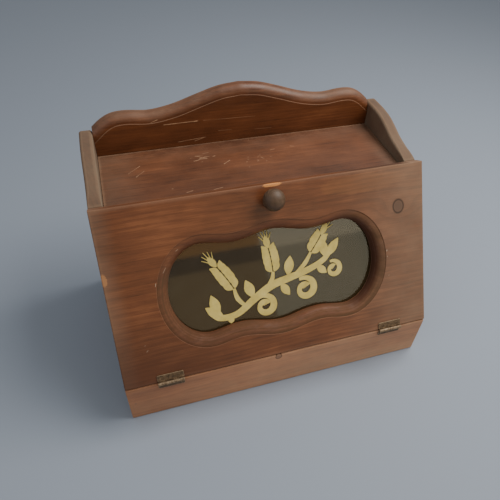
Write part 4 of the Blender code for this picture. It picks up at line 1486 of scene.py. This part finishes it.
# %% The vine
VINE = [(-92, -26), (-78, -42), (-54, -42), (-30, -27), (-6, -14), (20, -8), (46, -2), (68, 8), (87, 27)]
VINE_WIDTHS = [2.0, 8.0, 8.5, 10.0, 10.5, 9.5, 8.5, 7.5, 1.0]
STEMS = ([(-54, -8), (-51, -22), (-42, -34)], [(-2, 4), (-5, -7), (-16, -20)], [(50, 20), (41, 7), (26, -6)])
EARS = ((116, 5, 44), (92, 5, 38), (50, 4, 32))  # lean in degrees, pairs of grains, length
SCROLLS = (((-17, -39), 120, -450, 14.5, 1.0), ((38, -27), 115, -435, 15.5, 1.05),
           ((79, -8), 110, -410, 11.5, 0.8))
TIPS = ((-72, -43, 140, 27, 13), (72, 11, 52, 27, 12))
LEAVES = ((-31, -24, 108, 25, 13), (17, -4, 78, 25, 13), (69, 11, 97, 24, 12), (-77, -38, 104, 28, 13),
          (-62, -44, 262, 9, 8), (7, -14, 300, 20, 11), (57, 0, 318, 17, 10))


def leaf(x, z, angle, long, wide):
    return grain(x, z, radians(angle), long, wide)


def ornament_strokes():
    """Every stroke of the ornament, the later ones on top, in millimetres from the pane's middle."""
    made = []
    for stem, (lean, grains, long) in zip(STEMS, EARS):
        made += ear(stem[0], radians(lean), grains, long)
    made += [brush(stem, [3.4, 6.0, 4.2]) for stem in STEMS]
    made.append(brush(VINE, VINE_WIDTHS))
    made += [leaf(*tip) for tip in TIPS]
    for centre, start, turn, first, wide in SCROLLS:
        widths = [value * wide for value in (4.0, 8.0, 9.5, 8.0, 6.0, 8.0, 10.5)]
        made.append(curl(centre, radians(start), radians(start + turn), first, first * 0.24, widths))
    made += [leaf(*one) for one in LEAVES]
    return made


strokes_drawn = ornament_strokes()
print(len(strokes_drawn), "strokes in the ornament")

# %% [markdown]
# The gold is a film a tenth of a millimetre thick on the front of the pane, and the outline is the same
# shape drawn a little wider beneath it. Each stroke lies two thousandths of a millimetre higher than the
# one before, so crossing strokes never share a surface.


# %% Films on the pane
FILM = 0.10 * MM
LAYER = 0.002 * MM
CLEAR = 0.01 * MM


def film_piece(name, strokes, grow, lift, material):
    """The strokes as thin closed films on the front of the pane; grow widens them, lift stacks them."""
    bm = bmesh.new()
    for number, (left, right) in enumerate(strokes):
        stacked = lift + number * LAYER
        sides = []
        for depth in (0, stacked):
            y = glass_low.y - CLEAR - depth
            pairs = []
            for (here, way, wide), (_, other, _) in zip(left, right):
                a, b = here + way * (wide + grow), here + other * (wide + grow)
                pairs.append([bm.verts.new((point.x, y, WINDOW_MIDDLE + point.y)) for point in (a, b)])
            sides.append(pairs)
        low, high = sides
        for i in range(len(low) - 1):
            bm.faces.new((low[i][0], low[i][1], low[i + 1][1], low[i + 1][0]))
            bm.faces.new((high[i][0], high[i + 1][0], high[i + 1][1], high[i][1]))
            bm.faces.new((low[i][0], low[i + 1][0], high[i + 1][0], high[i][0]))
            bm.faces.new((low[i][1], high[i][1], high[i + 1][1], low[i + 1][1]))
        bm.faces.new((low[0][0], high[0][0], high[0][1], low[0][1]))
        bm.faces.new((low[-1][0], low[-1][1], high[-1][1], high[-1][0]))
    return piece_from(name, bm, "door", material, frame_at=DOOR_FRAME, sharp=30, weigh=False)


def gold_paint():
    paint = Paint("pale_gold_transfer")
    paint.place()
    patch = paint.noise(paint.point, 90, 3, 0.6, 1.0)
    fine = paint.noise(paint.point, 1400, 3, 0.6, 3.0)
    light = (patch * 0.6 + fine * 0.4).at_most(1.0)
    golds = [(0.3, (0.56, 0.42, 0.10)), (0.5, (0.74, 0.59, 0.16)), (0.7, (0.85, 0.70, 0.24))]
    colour = paint.ramp(light, golds)
    rough = 0.42 + (fine - 0.5) * 0.3
    return paint.finish(Base_Color=colour, Roughness=rough)


def outline_paint():
    paint = Paint("dark_transfer_outline")
    paint.place()
    fine = paint.noise(paint.point, 1400, 3, 0.6, 5.0)
    colour = paint.ramp(fine, [(0.3, (0.035, 0.026, 0.012)), (0.7, (0.085, 0.065, 0.030))])
    return paint.finish(Base_Color=colour, Roughness=0.5)


film_piece("ornament_outline", strokes_drawn, 0.55 * MM, FILM / 2, outline_paint())
film_piece("ornament_gold", strokes_drawn, 0.0, FILM * 1.5, gold_paint())
print("the ornament is on the pane")

# %% [markdown]
# ## Inside and behind
#
# The bottom board and the strips that hold the glass were stained once and never varnished. The back is
# thin bare plywood. Small hardware inside is bright steel, and the catch is brown moulded plastic. These
# nodes keep their own meshes, and a narrow bevel eases the edges of the larger ones.


# %% Finish what is inside
def plain_pine(name, seed, axes, tones, rough):
    """Sawn pine with little or no finish on it."""
    paint = Paint(name)
    by_axis = dict(zip("xyz", paint.place()))
    place = [by_axis[axis] for axis in axes]
    late, fibre, streak, _, _ = wood_grain(paint, place, seed, heart=(0.05, 0.12))
    patch = pulled(paint, place, 12, 20, 3, 0.6, seed + 4)
    light = 0.5 + (streak - 0.5) * 0.9 + (fibre - 0.5) * 0.8 - late * 0.2 + (patch - 0.5) * 0.6
    colour = paint.ramp(light.at_most(1.0).at_least(0.0), list(zip((0.0, 0.5, 1.0), tones)))
    normal = paint.bump(fibre * 0.6 + streak * 0.4, 0.4, 0.2 * MM)
    return paint.finish(Base_Color=colour, Roughness=rough + (patch - 0.5) * 0.2, Normal=normal)


def moulded_plastic():
    paint = Paint("brown_moulded_plastic")
    paint.place()
    grainy = paint.noise(paint.point, 2600, 2, 0.5, 3.0)
    patch = paint.noise(paint.point, 90, 3, 0.6, 5.0)
    colour = paint.ramp(patch, [(0.3, (0.050, 0.026, 0.015)), (0.7, (0.085, 0.046, 0.027))])
    normal = paint.bump(grainy, 0.3, 0.05 * MM)
    return paint.finish(Base_Color=colour, Roughness=0.42 + (patch - 0.5) * 0.2, Normal=normal)


def ferrite():
    paint = Paint("ferrite_magnet")
    paint.place()
    grainy = paint.noise(paint.point, 3000, 3, 0.6, 2.0)
    colour = paint.ramp(grainy, [(0.3, (0.022, 0.022, 0.023)), (0.7, (0.06, 0.06, 0.062))])
    rough = 0.55 + (grainy - 0.5) * 0.3
    normal = paint.bump(grainy, 0.3, 0.05 * MM)
    return paint.finish(Base_Color=colour, Roughness=rough, Normal=normal)


inner_tones = ((0.13, 0.055, 0.024), (0.27, 0.130, 0.060), (0.42, 0.235, 0.120))
ply_tones = ((0.23, 0.140, 0.075), (0.38, 0.255, 0.145), (0.52, 0.380, 0.240))
inner_pine = plain_pine("inner_pine", 41.0, "xyz", inner_tones, 0.62)
back_ply = plain_pine("back_ply", 47.0, "xzy", ply_tones, 0.7)
plastic, magnet = moulded_plastic(), ferrite()
finishes = {"bottom_board": inner_pine, "back_panel": back_ply,
            "catch_housing": plastic, "catch_magnet": magnet}
EASED = {"bottom_board": 0.6 * MM, "back_panel": 0.25 * MM, "catch_housing": 0.25 * MM,
         "strike_plate": 0.25 * MM}
for node, shape in frame["nodes"].items():
    if shape.hide_render or node == "window_glass":
        continue
    is_strip = node.startswith("glass_strip")
    dress(node, finishes.get(node) or (inner_pine if is_strip else steel))
    if is_strip or node in EASED:
        eased = shape.modifiers.new("eased", "BEVEL")
        eased.width = EASED.get(node, 0.6 * MM)
        eased.segments = 3
        eased.limit_method = "ANGLE"
print("the rest of the nodes have their finishes")
